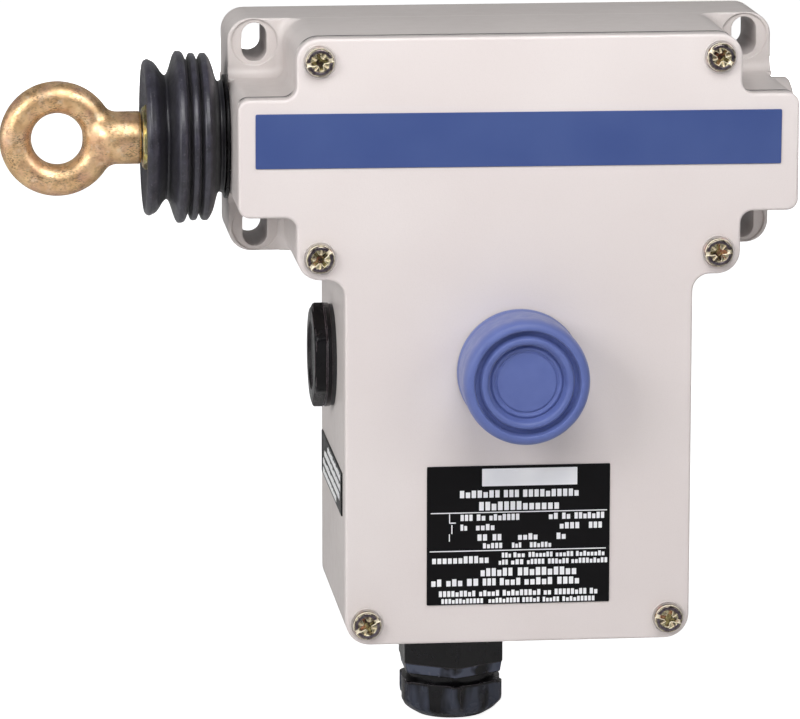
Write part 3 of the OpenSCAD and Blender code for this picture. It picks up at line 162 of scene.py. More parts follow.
room = bpy.data.worlds.new("white_room")
room.use_nodes = True
tree = room.node_tree
tree.nodes.clear()
path = wire(tree, "LightPath")
seen = reckon(tree, "MAXIMUM", path.outputs["Is Camera Ray"], path.outputs["Is Transmission Ray"])
way = wire(tree, "SeparateXYZ", {0: wire(tree, "TexCoord").outputs["Generated"]})
haze = wire(tree, "MapRange", {"Value": way.outputs["Z"], "From Min": -0.6, "From Max": 0.9,
                               "To Min": 0.175, "To Max": 0.16})
behind = wire(tree, "MapRange", {"Value": way.outputs["Y"], "From Min": -0.2, "From Max": 0.5, "To Max": 0.12})
seen = reckon(tree, "MAXIMUM", seen, reckon(tree, "MULTIPLY", path.outputs["Is Glossy Ray"], behind.outputs[0]))
glow = wire(tree, "MapRange", {"Value": seen, "To Min": haze.outputs[0], "To Max": 1.0})
air = wire(tree, "Background", {"Color": (1, 1, 1, 1), "Strength": glow.outputs[0]})
wire(tree, "OutputWorld", {"Surface": air.outputs[0]})
bpy.context.scene.world = room


def soft_lamp(name, place, aim, wide, tall, watts):
    """A rectangular soft lamp at a place, in metres, its face turned to what it lights. Gloss doesn't mirror one
    that stands behind the switch."""
    light = bpy.data.lights.new(name, "AREA")
    light.shape, light.size, light.size_y, light.energy = "RECTANGLE", wide, tall, watts
    lamp = bpy.data.objects.new(name, light)
    away = np.array(place, float) - np.array(aim, float)
    away /= np.linalg.norm(away)
    side = np.cross([0, 0, 1], away)
    side /= np.linalg.norm(side)
    top = np.cross(away, side)
    lamp.matrix_world = Matrix([[side[i], top[i], away[i], place[i]] for i in range(3)] + [[0, 0, 0, 1]])
    lamp.visible_glossy = place[1] < 0
    bpy.context.scene.collection.objects.link(lamp)


soft_lamp("left_lamp", (-0.9, -0.8, 0.45), (0, -0.07, -0.04), 0.5, 0.5, 5.8)
soft_lamp("side_lamp", (-1.2, -0.1, 0.1), (0, -0.05, -0.04), 0.5, 0.8, 2.9)
soft_lamp("near_lamp", (0.0, -0.35, 0.3), (0, -0.07, 0.02), 0.25, 0.25, 1.15)
soft_lamp("right_lamp", (0.9, -0.9, 0.5), (0, -0.07, -0.04), 0.5, 0.5, 2.3)
soft_lamp("back_lamp", (0.5, 1.3, -0.06), (0, -0.02, -0.06), 0.9, 0.2, 7)


# Housing: a zinc-alloy die casting, with the two arms, the four lugs and the lower box in one piece. It is sprayed
# with a satin grey-beige paint, and screws through the slots in its lugs hold it to the wall.
def start(name):
    """A new empty material and its tree of nodes."""
    made = bpy.data.materials.new(name)
    made.use_nodes = True
    made.node_tree.nodes.clear()
    return made, made.node_tree


def blotches(tree, size, low=0.35, high=0.65, detail=3, stretch=(1, 1, 1)):
    """Soft noise from 0 to 1 on the piece's own coordinates, each blotch about size metres wide, or longer by
    stretch."""
    spot = wire(tree, "Mapping", {"Vector": wire(tree, "TexCoord").outputs["Object"],
                                  "Scale": [1 / (size * s) for s in stretch]})
    noise = wire(tree, "TexNoise", {"Vector": spot.outputs[0], "Scale": 1, "Detail": detail})
    return wire(tree, "MapRange", {"Value": noise.outputs["Fac"], "From Min": low, "From Max": high}).outputs[0]


def tones(tree, share, low, high):
    """A colour between low and high by a share from 0 to 1."""
    return wire(tree, "Mix", {0: share, 6: low, 7: high}, data_type="RGBA").outputs[2]


def span(tree, value, low, high, start_at=0.0, end_at=1.0):
    """A number carried from the range start_at..end_at onto low..high."""
    return wire(tree, "MapRange", {"Value": value, "From Min": start_at, "From Max": end_at,
                                   "To Min": low, "To Max": high}).outputs[0]


def own_place(tree, way):
    """How far along X, Y or Z each point of the piece lies, in metres."""
    return wire(tree, "SeparateXYZ", {0: wire(tree, "TexCoord").outputs["Object"]}).outputs[way]


def edges_of(tree, radius):
    """How far each point is on an edge, 0 on a flat and 1 on a corner, and the normal there, rounded to a radius in
    metres."""
    soft = wire(tree, "Bevel", {"Radius": radius}, samples=6).outputs[0]
    true = wire(tree, "NewGeometry").outputs["Normal"]
    flat = wire(tree, "VectorMath", {0: soft, 1: true}, operation="DOT_PRODUCT").outputs["Value"]
    return span(tree, flat, 1.0, 0.0, 0.80, 0.985), soft


def close(made, tree, colour, rough, height=None, depth=0.0, normal=None, **own):
    """Ends a material: one Principled shader with a colour, a roughness and a bump of depth metres. Values that are
    the same all over are set on the shader itself, by the socket's name with _ for each space."""
    skin_of = wire(tree, "BsdfPrincipled", {"Base Color": colour, "Roughness": rough})
    for key, value in own.items():
        skin_of.inputs[key.replace("_", " ")].default_value = value
    if height is not None:
        bump = wire(tree, "Bump", {"Height": height, "Distance": depth, "Strength": 1.0})
        if normal is not None:
            tree.links.new(normal, bump.inputs["Normal"])
        normal = bump.outputs[0]
    if normal is not None:
        tree.links.new(normal, skin_of.inputs["Normal"])
    wire(tree, "OutputMaterial", {"Surface": skin_of.outputs[0]})
    return made


def dress(material, slot, *names):
    """Gives CAD nodes, or pieces, a material. The slot, the record's slot that the material stands for, is not
    used.
    """
    for name in names:
        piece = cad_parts.get(name) or bpy.data.objects[name]
        piece.data.materials.clear()
        piece.data.materials.append(material)
        piece.data.polygons.foreach_set("material_index", np.zeros(len(piece.data.polygons), np.int32))


def satin_paint(name, tone, pale, shade, edge):
    """Sprayed satin paint: a base tone that drifts a little over the piece, a fine orange peel of 0.6 mm and specks
    of 0.2 mm. Its edges are rounded in shading, and a paler line is painted along each as a highlight. On the upper
    sides a dark band of painted shade lies along the joint between cover and body, and a fine pale line of painted
    highlight marks the mould's parting line. Narrow recesses get a painted shade, a tone darker."""
    made, tree = start(name)
    drift = blotches(tree, 0.05, detail=2)
    speck = blotches(tree, 0.00035, 0.55, 0.72, detail=1)
    at_edge, soft = edges_of(tree, edge)
    colour = tones(tree, drift, tone, pale)
    colour = tones(tree, span(tree, speck, 0.0, 0.10), colour, shade)
    # Painted highlight: a paler line along each edge.
    colour = tones(tree, span(tree, at_edge, 0.0, 0.35), colour, srgb(246, 240, 236))
    depth = own_place(tree, "Y")
    facing = wire(tree, "SeparateXYZ", {0: wire(tree, "TexCoord").outputs["Normal"]})
    up = span(tree, facing.outputs["Z"], 0.0, 1.0, 0.5, 0.8)
    # Painted shade: a dark band on the upper sides beside the joint between cover and body.
    off_joint = reckon(tree, "ABSOLUTE", reckon(tree, "ADD", depth, 0.0678))
    painted_joint_shade = reckon(tree, "MULTIPLY", span(tree, off_joint, 1.0, 0.0, 0.0013, 0.0020), up)
    colour = tones(tree, painted_joint_shade, colour, srgb(46, 32, 38))
    # Painted highlight: a fine pale line on the upper sides at the mould's parting line.
    parting = span(tree, reckon(tree, "COMPARE", depth, -0.0268, 0.0006), 0.0, 0.3)
    colour = tones(tree, reckon(tree, "MULTIPLY", parting, up), colour, srgb(246, 240, 236))
    # Painted shade: narrow recesses a tone darker.
    open_sky = wire(tree, "AmbientOcclusion", {"Distance": 0.012}, samples=6).outputs["AO"]
    colour = tones(tree, span(tree, open_sky, 0.42, 0.0, 0.10, 0.36), colour, srgb(128, 116, 120))
    rough = span(tree, blotches(tree, 0.004), 0.36, 0.46)
    peel = reckon(tree, "ADD", blotches(tree, 0.0012, 0.2, 0.8, 2), blotches(tree, 0.00045, 0.2, 0.8, 2))
    return close(made, tree, colour, rough, peel, 0.000012, soft, Specular_IOR_Level=0.45, Coat_Weight=0.12,
                 Coat_Roughness=0.28)


body_paint = satin_paint("body_paint", srgb(212, 204, 201), srgb(219, 211, 208), srgb(176, 168, 165), 0.0006)
dress(body_paint, "paint_body", "housing")


# Cover: a flat die-cast lid in a paler batch of the same paint, with a hole for the reset button. It lies on a thin
# moulded rubber gasket that shows as a dark joint, and six screws hold it down.
cover_face = -73.5
cover_paint = satin_paint("cover_paint", srgb(226, 216, 214), srgb(230, 221, 219), srgb(196, 186, 184), 0.0007)
dress(cover_paint, "paint_cover", "cover")


def soft_rubber(name, dark, light, rough, mould):
    """Moulded rubber: two close tones in blotches of 3 mm, a bloom of fine dust, a painted shade in the folds, and
    a fine grain."""
    made, tree = start(name)
    colour = tones(tree, blotches(tree, 0.003), dark, light)
    dust = blotches(tree, 0.0006, 0.6, 0.75, 2)
    colour = tones(tree, span(tree, dust, 0.0, 0.22), colour, srgb(150, 150, 158))
    # Painted shade: darker in the folds, where the rubber is hemmed in.
    open_sky = wire(tree, "AmbientOcclusion", {"Distance": 0.008}, samples=6).outputs["AO"]
    colour = tones(tree, span(tree, open_sky, 0.95, 0.0, 0.3, 0.85), colour, srgb(12, 9, 13))
    shine = span(tree, blotches(tree, 0.002), rough - 0.05, rough + 0.07)
    grain = blotches(tree, 0.00025, 0.2, 0.8, 2)
    return close(made, tree, colour, shine, grain, mould, Specular_IOR_Level=0.65, Sheen_Weight=0.12,
                 Sheen_Roughness=0.4)


seal_rubber = soft_rubber("seal_rubber", srgb(34, 34, 36), srgb(44, 43, 46), 0.6, 0.00001)
dress(seal_rubber, "seal_rubber", "cover_gasket", "end_cap_seal", "gland_seal", "gland_ring", "plug_ring")


# Cover screws: six pan-head machine screws in steel with bright zinc plate, with a cross and a slot pressed into
# the dished top of each. They are screwed into the housing, and each head has squeezed up a low lip of paint round
# itself.
screw_places = [(-56.6, 27.4, 12), (56.6, 27.4, -32), (-56.6, -28.3, 40),
                (56.6, -28.3, 5), (-43.4, -134.5, 28), (43.4, -134.5, -15)]


def step(x, low, high):
    """0 below low, 1 above high, and a smooth S between."""
    t = np.clip((x - low) / (high - low), 0, 1)
    return t * t * (3 - 2 * t)


def screw_head(x, z, turned_by):
    """A head as height over a disc of radius 4: a flat rim eased into the side, a shallow dish, and a cross, a full
    slot and four short rays sunk into it by the distance of each point from their centre lines. Below it a ringed
    shank."""
    spread = np.concatenate([np.linspace(0, 3.3, 44), 3.3 + 0.7 * np.sin(np.linspace(0.12, np.pi / 2, 9))])
    angle = np.linspace(0, 2 * np.pi, 180, endpoint=False)
    r, a = np.meshgrid(spread, angle, indexing="ij")
    u, v = r * np.cos(a), r * np.sin(a)
    side_fall = 0.8 * (1 - np.sqrt(np.clip(1 - (np.clip(r - 3.2, 0, 0.8) / 0.8) ** 2, 0, 1)))
    rise = 2.5 - side_fall - 0.3 * (1 - step(r, 2.5, 2.9))
    arm_u = (1 - step(np.abs(v), 0.36, 0.74)) * (1 - step(np.abs(u), 2.1, 2.6))
    arm_v = (1 - step(np.abs(u), 0.36, 0.74)) * (1 - step(np.abs(v), 2.1, 2.6))
    slot = 1 - step(np.abs(v), 0.36, 0.7)
    ray = (1 - step(np.abs(np.abs(u) - np.abs(v)), 0.10, 0.45)) * step(r, 1.1, 1.4) * (1 - step(r, 2.5, 2.9))
    core = 1 - step(r, 0.8, 1.4)
    rise = rise - np.maximum.reduce([1.3 * arm_u, 1.3 * arm_v, 0.8 * slot, 1.7 * core, 0.7 * ray])
    down = np.array([[4.0, 1.2], [4.0, 0.15], [3.88, 0.0], [2.0, 0.0]])
    thread = np.array([[2.0 - 0.28 * (k % 2), -0.35 * k] for k in range(1, 27)])
    low = np.vstack([down, thread, [[1.5, -9.4], [0, -9.4]]])
    r_all = np.vstack([r, np.repeat(low[:, :1], len(angle), 1)])
    h_all = np.vstack([rise, np.repeat(low[:, 1:], len(angle), 1)])
    a_all = np.vstack([a, np.repeat(angle[None], len(low), 0)]) + np.radians(turned_by)
    return np.stack([x + r_all * np.cos(a_all), cover_face - h_all, z + r_all * np.sin(a_all)], -1)


screws = skin("cover_screw_set", [screw_head(*place) for place in screw_places], 50)


def bright_zinc(name, deep, bright, tint, rough, painted_glint=0.6):
    """Zinc plate: two greys in scuffed patches of 2 mm, with a faint yellow, green or pink film over some of them,
    a pale painted highlight along the edges, its share painted_glint, and fine scratches along one way."""
    made, tree = start(name)
    colour = tones(tree, blotches(tree, 0.0016, 0.3, 0.7), deep, bright)
    colour = tones(tree, span(tree, blotches(tree, 0.0028, 0.45, 0.7, 2), 0.0, 0.6), colour, tint)
    colour = tones(tree, span(tree, blotches(tree, 0.0019, 0.5, 0.65, 2), 0.0, 0.5), colour, srgb(190, 140, 126))
    at_edge, soft = edges_of(tree, 0.00022)
    # Painted highlight: a pale cream along the edges.
    colour = tones(tree, span(tree, at_edge, 0.0, painted_glint), colour, srgb(255, 240, 210))
    shine = span(tree, blotches(tree, 0.0012, 0.25, 0.75), rough - 0.08, rough + 0.14)
    scratch = blotches(tree, 0.00016, 0.3, 0.7, 2, (6, 1, 1))
    return close(made, tree, colour, shine, scratch, 0.000006, soft, Metallic=1.0)


# The heads are coloured by height: dull grey rims, pale yellow dishes, and recesses in a painted shade of dark
# brown with olive and coppery patches; on the lips between lies a painted highlight of pale cream.
made, tree = start("screw_zinc")
height = own_place(tree, "Y")
# Painted shade: the sunk cross, slot and rays are dark brown, with olive and coppery patches.
sunk = span(tree, height, 0.0, 1.0, -0.0756, -0.0750)
colour = tones(tree, blotches(tree, 0.0012, 0.3, 0.7), srgb(78, 68, 76), srgb(112, 104, 110))
hole = tones(tree, blotches(tree, 0.0016, 0.4, 0.6), srgb(66, 54, 46), srgb(170, 158, 108))
hole = tones(tree, span(tree, blotches(tree, 0.003, 0.5, 0.62), 0.0, 0.7), hole, srgb(210, 132, 106))
dish = span(tree, height, 0.0, 0.8, -0.07598, -0.07575)
dished = tones(tree, blotches(tree, 0.0012, 0.4, 0.6), srgb(104, 92, 74), srgb(208, 200, 160))
colour = tones(tree, dish, colour, dished)
colour = tones(tree, sunk, colour, hole)
at_edge, soft = edges_of(tree, 0.0003)
# Painted highlight: pale cream on the lips round the sunk marks, where the metal is made less metallic so that it
# shows.
lip = span(tree, height, 0.0, 1.0, -0.07566, -0.07558)
lip = reckon(tree, "MULTIPLY", lip, span(tree, height, 1.0, 0.0, -0.0751, -0.0748))
lip = reckon(tree, "MULTIPLY", lip, blotches(tree, 0.0022, 0.3, 0.44))
colour = tones(tree, lip, colour, srgb(255, 245, 222))
painted_glint = span(tree, lip, 0.9, 0.1)
shine = span(tree, blotches(tree, 0.0012, 0.25, 0.75), 0.18, 0.36)
scratch = blotches(tree, 0.00016, 0.3, 0.7, 2, (6, 1, 1))
screw_zinc = close(made, tree, colour, shine, scratch, 0.000006, soft)
tree.links.new(painted_glint, next(n for n in tree.nodes if n.type == "BSDF_PRINCIPLED").inputs["Metallic"])
dress(screw_zinc, "zinc_steel", "cover_screw_set")
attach(screws, "root")
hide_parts("cover_screws")


def eased(corners, cut, steps=5, loop=False):
    """Straight lines with eased corners: each corner turns into a quadratic curve that leaves one line a cut before
    it and meets the next a cut after it, or at 0.45 of a shorter line."""
    p = np.asarray(corners, float)
    back, ahead = p - np.roll(p, 1, 0), np.roll(p, -1, 0) - p
    near, far = (np.linalg.norm(d, axis=1, keepdims=True) for d in (back, ahead))
    near[near == 0], far[far == 0] = 1, 1
    cut = np.broadcast_to(np.asarray(cut, float).reshape(-1, 1), (len(p), 1))
    a = (p - back / near * np.minimum(cut, 0.45 * near))[:, None]
    b = (p + ahead / far * np.minimum(cut, 0.45 * far))[:, None]
    t = np.linspace(0, 1, steps)[None, :, None]
    curve = (1 - t) ** 2 * a + 2 * t * (1 - t) * p[:, None] + t ** 2 * b
    if not loop:
        curve[0], curve[-1] = p[0], p[-1]
    return curve.reshape(-1, p.shape[1])


def turned(profile, centre, axis, columns=128):
    """A profile of (height, radius) rows carried round an axis through a centre."""
    axis = np.array(axis, float)
    side = np.cross(axis, [0, 0, 1] if abs(axis[2]) < 0.5 else [0, 1, 0])
    top = np.cross(axis, side)
    angle = np.linspace(0, 2 * np.pi, columns, endpoint=False)[None, :, None]
    h, r = np.asarray(profile)[:, 0, None, None], np.asarray(profile)[:, 1, None, None]
    return np.array(centre) + h * axis + r * (np.cos(angle) * side + np.sin(angle) * top)


def paint_ring(x, z):
    """A low lip of paint squeezed round a screw head: a flat ring with rounded edges, turned about the screw's
    axis."""
    across = eased([[-0.05, 4.2], [0.11, 4.3], [0.11, 4.75], [-0.05, 4.9]], 0.08, 5)
    return turned(across, (x, cover_face, z), (0, -1, 0), 96)


rings = skin("screw_paint_rings", [paint_ring(x, z) for x, z, turned_by in screw_places], 40, True)
dress(cover_paint, "paint_cover", "screw_paint_rings")
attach(rings, "root")


# Labels: printed plastic films with glued backs, pressed on the paint. A bare blue band lies across the arms, and a
# black data plate on the cover and a black label on the left wall carry plain white print.
film_thick, left_wall = 0.4, -49.5
blue_at, plate_at, side_at = (-74.6, 74.3, -2.95, 12.5), (-26.25, 26.25, -129.3, -88.9), (3.0, 65.0, -104.7, -92.1)


def film(x0, x1, z0, z1, face, thick, corner, tilt=0.0):
    """A thin film: a rectangle with eased corners, lifted from the face by a rounded edge and closed over the top
    and the back by rings that shrink to the middle. It is turned in its plane by tilt degrees."""
    outline = eased([[x0, z0], [x1, z0], [x1, z1], [x0, z1]], corner, 6, True)
    middle = np.array([(x0 + x1) / 2, (z0 + z1) / 2])
    rows = [(0, 0), (1, 0), (1, 0), (1, thick * 0.6), (1, thick * 0.6), (1, thick), (0, thick)]
    inset = [0, 0.02, 0, 0, 0, 0.3 * thick, 0]
    shrink = np.sign(outline - middle)
    ring = np.stack([middle + (outline - middle) * k - shrink * s for (k, _), s in zip(rows, inset)])
    lift = np.array([h for _, h in rows])[:, None] * np.ones(len(outline))
    c, s = np.cos(np.radians(tilt)), np.sin(np.radians(tilt))
    d = ring - middle
    x, z = middle[0] + c * d[..., 0] - s * d[..., 1], middle[1] + s * d[..., 0] + c * d[..., 1]
    return np.stack([x, face - lift, z], -1)


band = skin("blue_band", [film(*blue_at, cover_face, film_thick, 0.5, -0.22)], 30)


def printed_film(name, tone, deep, rough):
    """Printed film: an even ink with a faint drift, a fine screen grain and a satin top that varies a little."""
    made, tree = start(name)
    colour = tones(tree, blotches(tree, 0.02, detail=2), tone, deep)
    shine = span(tree, blotches(tree, 0.006), rough - 0.05, rough + 0.06)
    grain = blotches(tree, 0.0002, 0.2, 0.8, 1)
    return close(made, tree, colour, shine, grain, 0.000003, Specular_IOR_Level=0.14)


dress(printed_film("band_ink", srgb(67, 84, 138), srgb(72, 89, 142), 0.34), "blue_film", "blue_band")
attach(band, "root")
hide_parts("band_label")


def onto_side(grid):
    """A film turned from the cover onto the left wall: its depth becomes its place across, and its place across,
    taken backwards, its depth."""
    return grid[..., [1, 0, 2]] * [1, -1, 1]


plate = skin("black_plate", [film(*plate_at, cover_face, film_thick, 0.4)], 30)
side_plate = skin("black_side_plate", [onto_side(film(*side_at, left_wall, film_thick, 0.4))], 30)
black_ink = printed_film("black_ink", srgb(9, 8, 10), srgb(14, 13, 15), 0.36)
dress(black_ink, "black_film", "black_plate", "black_side_plate")
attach(plate, "root")
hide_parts("data_plate")
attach(side_plate, "root")
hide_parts("side_label")

# The print is blank: an empty white field, two rules, a contact sign and rows of blocks. Each row's top and foot,
# and then the left and right ends of its words, are shares of the plate's height and width.
print_rows = {(0.175, 0.228): [(0.175, 0.40), (0.415, 0.505), (0.52, 0.832)], (0.258, 0.32): [(0.28, 0.725)],
              (0.348, 0.393): [(0.18, 0.252), (0.268, 0.322), (0.337, 0.507), (0.662, 0.718), (0.735, 0.786),
                               (0.803, 0.972)],
              (0.418, 0.463): [(0.18, 0.222), (0.264, 0.372), (0.722, 0.836), (0.882, 0.96)],
              (0.492, 0.538): [(0.272, 0.332), (0.355, 0.41), (0.494, 0.608), (0.705, 0.762)],
              (0.556, 0.594): [(0.303, 0.414), (0.462, 0.518), (0.56, 0.682)],
              (0.628, 0.664): [(0.407, 0.462), (0.47, 0.538), (0.553, 0.69), (0.702, 0.803), (0.813, 0.975)],
              (0.648, 0.7): [(0.025, 0.341)],
              (0.678, 0.715): [(0.39, 0.445), (0.457, 0.53), (0.545, 0.645), (0.66, 0.778), (0.788, 0.99)],
              (0.738, 0.796): [(0.29, 0.472), (0.493, 0.822)],
              (0.812, 0.864): [(0.02, 0.083), (0.102, 0.198), (0.215, 0.285), (0.302, 0.38), (0.395, 0.515),
                               (0.53, 0.69), (0.71, 0.838)],
              (0.898, 0.94): [(0.063, 0.268), (0.283, 0.398), (0.412, 0.625), (0.637, 0.683), (0.697, 0.877),
                              (0.89, 0.938)],
              (0.955, 0.99): [(0.077, 0.31), (0.335, 0.51), (0.52, 0.62), (0.632, 0.727), (0.74, 0.922)],
              (0.02, 0.146): [(0.30, 0.82)], (0.331, 0.338): [(0.02, 0.985)], (0.607, 0.614): [(0.015, 0.98)],
              (0.34, 0.408): [(0.121, 0.126)], (0.402, 0.41): [(0.121, 0.158)], (0.42, 0.485): [(0.133, 0.139)],
              (0.485, 0.54): [(0.12, 0.125)]}
chance, ink_thick = np.random.default_rng(7), 0.03


def blocks(x0, x1, z0, z1, face):
    """A word of blank blocks: cells as wide as 0.74 of the row's height, each holding a plain block of full or of
    three quarter height. A rule, a sign's stroke or a field is one plain bar."""
    cells = max(1, round((x1 - x0) / (0.74 * (z1 - z0))))
    if z1 - z0 < 0.5 or z1 - z0 > 4 or cells < 2:
        return [film(x0, x1, z0, z1, face, ink_thick, 0.2)]
    wide = (x1 - x0) / cells
    lefts = x0 + wide * (np.arange(cells) + 0.13)
    tops = z0 + (z1 - z0) * np.array([1.0, 0.76, 1.0])[chance.integers(0, 3, cells)]
    return [film(left, left + 0.74 * wide, z0, top, face, ink_thick, 0.12) for left, top in zip(lefts, tops)]


plate_left, plate_top, plate_wide, plate_tall = -26.25, -88.9, 52.5, 40.4
words = [(plate_left + plate_wide * left, plate_left + plate_wide * right,
          plate_top - plate_tall * low, plate_top - plate_tall * high)
         for (high, low), row in print_rows.items() for left, right in row]
bars = [mark for word in words for mark in blocks(*word, cover_face - film_thick)]
side_words = [(22, 62, -95.2, -93.1), (12, 62, -98.2, -96.1), (8, 60, -101.2, -99.1), (8, 50, -104.0, -102.2)]
side_bars = [onto_side(mark) for word in side_words for mark in blocks(*word, left_wall - film_thick)]
ink = skin("white_print", bars + side_bars, 30)
white_ink = printed_film("white_ink", srgb(255, 255, 255), srgb(240, 240, 244), 0.5)
dress(white_ink, "black_film", "white_print")
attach(ink, "root")


# Pull line: a rubber bellows, moulded in one piece, keeps dirt off the shaft. A moulded collar screwed into the
# left arm clamps its foot, and the lock nut's washer holds its other end on the shaft, so that it stretches with
# the pull.
line_y, arm_end = -28.5, 79.4


def flowing(points, steps):
    """A smooth line through points: between each pair a cubic whose slope at a point is half the step across it."""
    p = np.asarray(points, float)
    q = np.vstack([2 * p[0] - p[1], p, 2 * p[-1] - p[-2]])
    t = np.linspace(0, 1, steps, endpoint=False)[None, :, None]
    a, b, c, d = q[:-3, None], q[1:-2, None], q[2:-1, None], q[3:, None]
    run = 0.5 * (2 * b + (c - a) * t + (2 * a - 5 * b + 4 * c - d) * t ** 2 + (3 * b - a - 3 * c + d) * t ** 3)
    return np.vstack([run.reshape(-1, p.shape[1]), p[-1:]])


folds = [[1.4, 16.35], [3, 16.35], [4.6, 21.5], [5.9, 23.8], [6.8, 24.1], [7.7, 23.8], [8.5, 22.2], [9.3, 23.8],
         [10.2, 24.1], [10.9, 23.8], [11.7, 22.2], [12.7, 24.2], [14, 24.75], [15.2, 23.9], [17.6, 17.9],
         [20.6, 21.3], [22, 22.2], [22.9, 22.5], [23.8, 22], [24.1, 21.1], [23.5, 19.9], [21, 12], [20, 10.5],
         [20, 4.1]]
lining = [[18, 4.1], [18, 10.8], [21.5, 19.9], [17.6, 16.7], [15.1, 21.7], [14, 23.55], [12.9, 22.95], [11.7, 21.0],
          [10.8, 22.5], [10.2, 22.9], [9.4, 22.5], [8.5, 21.0], [7.6, 22.5], [6.8, 22.9], [6, 22.5], [5.2, 20],
          [4.4, 15.15], [1.4, 15.15]]
bellows_wall = np.vstack([flowing(folds, 7), flowing(lining, 3)])
bellows = skin("rubber_bellows", [turned(bellows_wall, (-arm_end, line_y, 0), (-1, 0, 0), 160)], 60, True)
bellows_rubber = soft_rubber("bellows_rubber", srgb(38, 36, 46), srgb(56, 54, 66), 0.34, 0.000008)
dress(bellows_rubber, "bellows_rubber", "rubber_bellows")
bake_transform(bellows)
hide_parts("bellows")

collar_rows = [[1.1, 4.6], [4.3, 4.6], [4.3, 14.75], [1.1, 14.75], [1.1, 17.85], [0, 17.85], [0, 12.2], [-4, 12.2],
               [-4, 4.6]]
collar = skin("bellows_clamp", [turned(eased(collar_rows, 0.3, 4, True), (-arm_end, line_y, 0), (-1, 0, 0), 96)],
              40, True)


def moulded_plastic(name, dark, light, rough):
    """Moulded plastic: an even tone with faint flow marks, a pale painted highlight along the edges, spark-eroded
    grain of 0.3 mm and handled, shinier patches."""
    made, tree = start(name)
    colour = tones(tree, blotches(tree, 0.008, detail=4), dark, light)
    at_edge, soft = edges_of(tree, 0.0003)
    # Painted highlight: a pale mauve-grey along the edges.
    colour = tones(tree, span(tree, at_edge, 0.0, 0.8), colour, srgb(150, 134, 140))
    shine = span(tree, blotches(tree, 0.004), rough - 0.07, rough + 0.08)
    grain = blotches(tree, 0.0003, 0.2, 0.8, 2)
    return close(made, tree, colour, shine, grain, 0.00002, soft, Specular_IOR_Level=0.24)


black_moulding = moulded_plastic("black_moulding", srgb(12, 11, 13), srgb(18, 17, 20), 0.30)
dress(black_moulding, "black_plastic", "bellows_clamp", "reset_nut", "reset_plunger")
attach(collar, "root")
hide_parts("bellows_collar")


# Eye bolt: a steel ring and neck, forged in one, zinc plated and dipped in yellow chromate. It is screwed on the
# end of the shaft, and a zinc-plated hexagon nut locks it there.
def forged_eye():
    """The eye as the surface where a smooth lower of two distances is nought: the distance from a ring bar of
    radius 4.6 on a circle of radius 12, and the distance from a round neck with a ball at its root. Points of a
    coarse mesh over both are moved onto it along the slope of that distance, four times over."""
    centre, end = np.array([-128.2, line_y, 0]), -104.2
    bar, ring, neck, root, melt = 4.6, 12.0, 7.6, 16.0, 2.2

    def gap(p):
        """How far each point is outside the eye, in mm, and below nought inside it."""
        d = p - centre
        to_ring = np.hypot(np.hypot(d[:, 0], d[:, 2]) - ring, d[:, 1]) - bar
        out = np.sqrt(d[:, 1] ** 2 + d[:, 2] ** 2 + np.maximum(root - d[:, 0], 0) ** 2)
        across = np.stack([out - (neck - 0.8), p[:, 0] - (end - 0.8)], 1)
        to_neck = np.linalg.norm(np.maximum(across, 0), axis=1) + np.minimum(across.max(1), 0) - 0.8
        mix = np.clip(0.5 + 0.5 * (to_neck - to_ring) / melt, 0, 1)
        return to_neck * (1 - mix) + to_ring * mix - melt * mix * (1 - mix)

    round_bar, reach = np.linspace(0, 2 * np.pi, 48, endpoint=False), end - centre[0]
    ring_rows = np.stack([bar * np.sin(round_bar), ring + bar * np.cos(round_bar)], 1)
    neck_rows = [[9.5, 0], [10.5, 4.5], [14, neck - 1], [16, neck], [reach - 1, neck], [reach, neck - 1],
                 [reach, 0]]
    rough_ring = skin("eye_blank_ring", [turned(ring_rows, centre, (0, 1, 0), 96)], along=True)
    rough_neck = skin("eye_blank_neck", [turned(neck_rows, centre, (1, 0, 0), 64)])
    blank = bmesh.new()
    for part in (rough_ring, rough_neck):
        blank.from_mesh(part.data)
        bpy.data.objects.remove(part)
    mesh = bpy.data.meshes.new("forged_eye")
    blank.to_mesh(mesh)
    blank.free()
    piece = bpy.data.objects.new("forged_eye", mesh)
    bpy.context.scene.collection.objects.link(piece)
    even = piece.modifiers.new("even", "REMESH")
    even.mode, even.voxel_size = "VOXEL", 0.00038
    remeshed = piece.evaluated_get(bpy.context.evaluated_depsgraph_get())
    piece.data = bpy.data.meshes.new_from_object(remeshed)
    piece.modifiers.clear()
    p = np.zeros(len(piece.data.vertices) * 3)
    piece.data.vertices.foreach_get("co", p)
    p = p.reshape(-1, 3) * 1000
    for _ in range(4):
        here = gap(p)
        slope = np.stack([gap(p + e) - gap(p - e) for e in np.eye(3) * 0.02], 1) / 0.04
        p = p - slope * (here / np.maximum((slope ** 2).sum(1), 0.25))[:, None]
    piece.data.vertices.foreach_set("co", (p / 1000).ravel())
    piece.data.shade_smooth()
    return piece


eye = forged_eye()


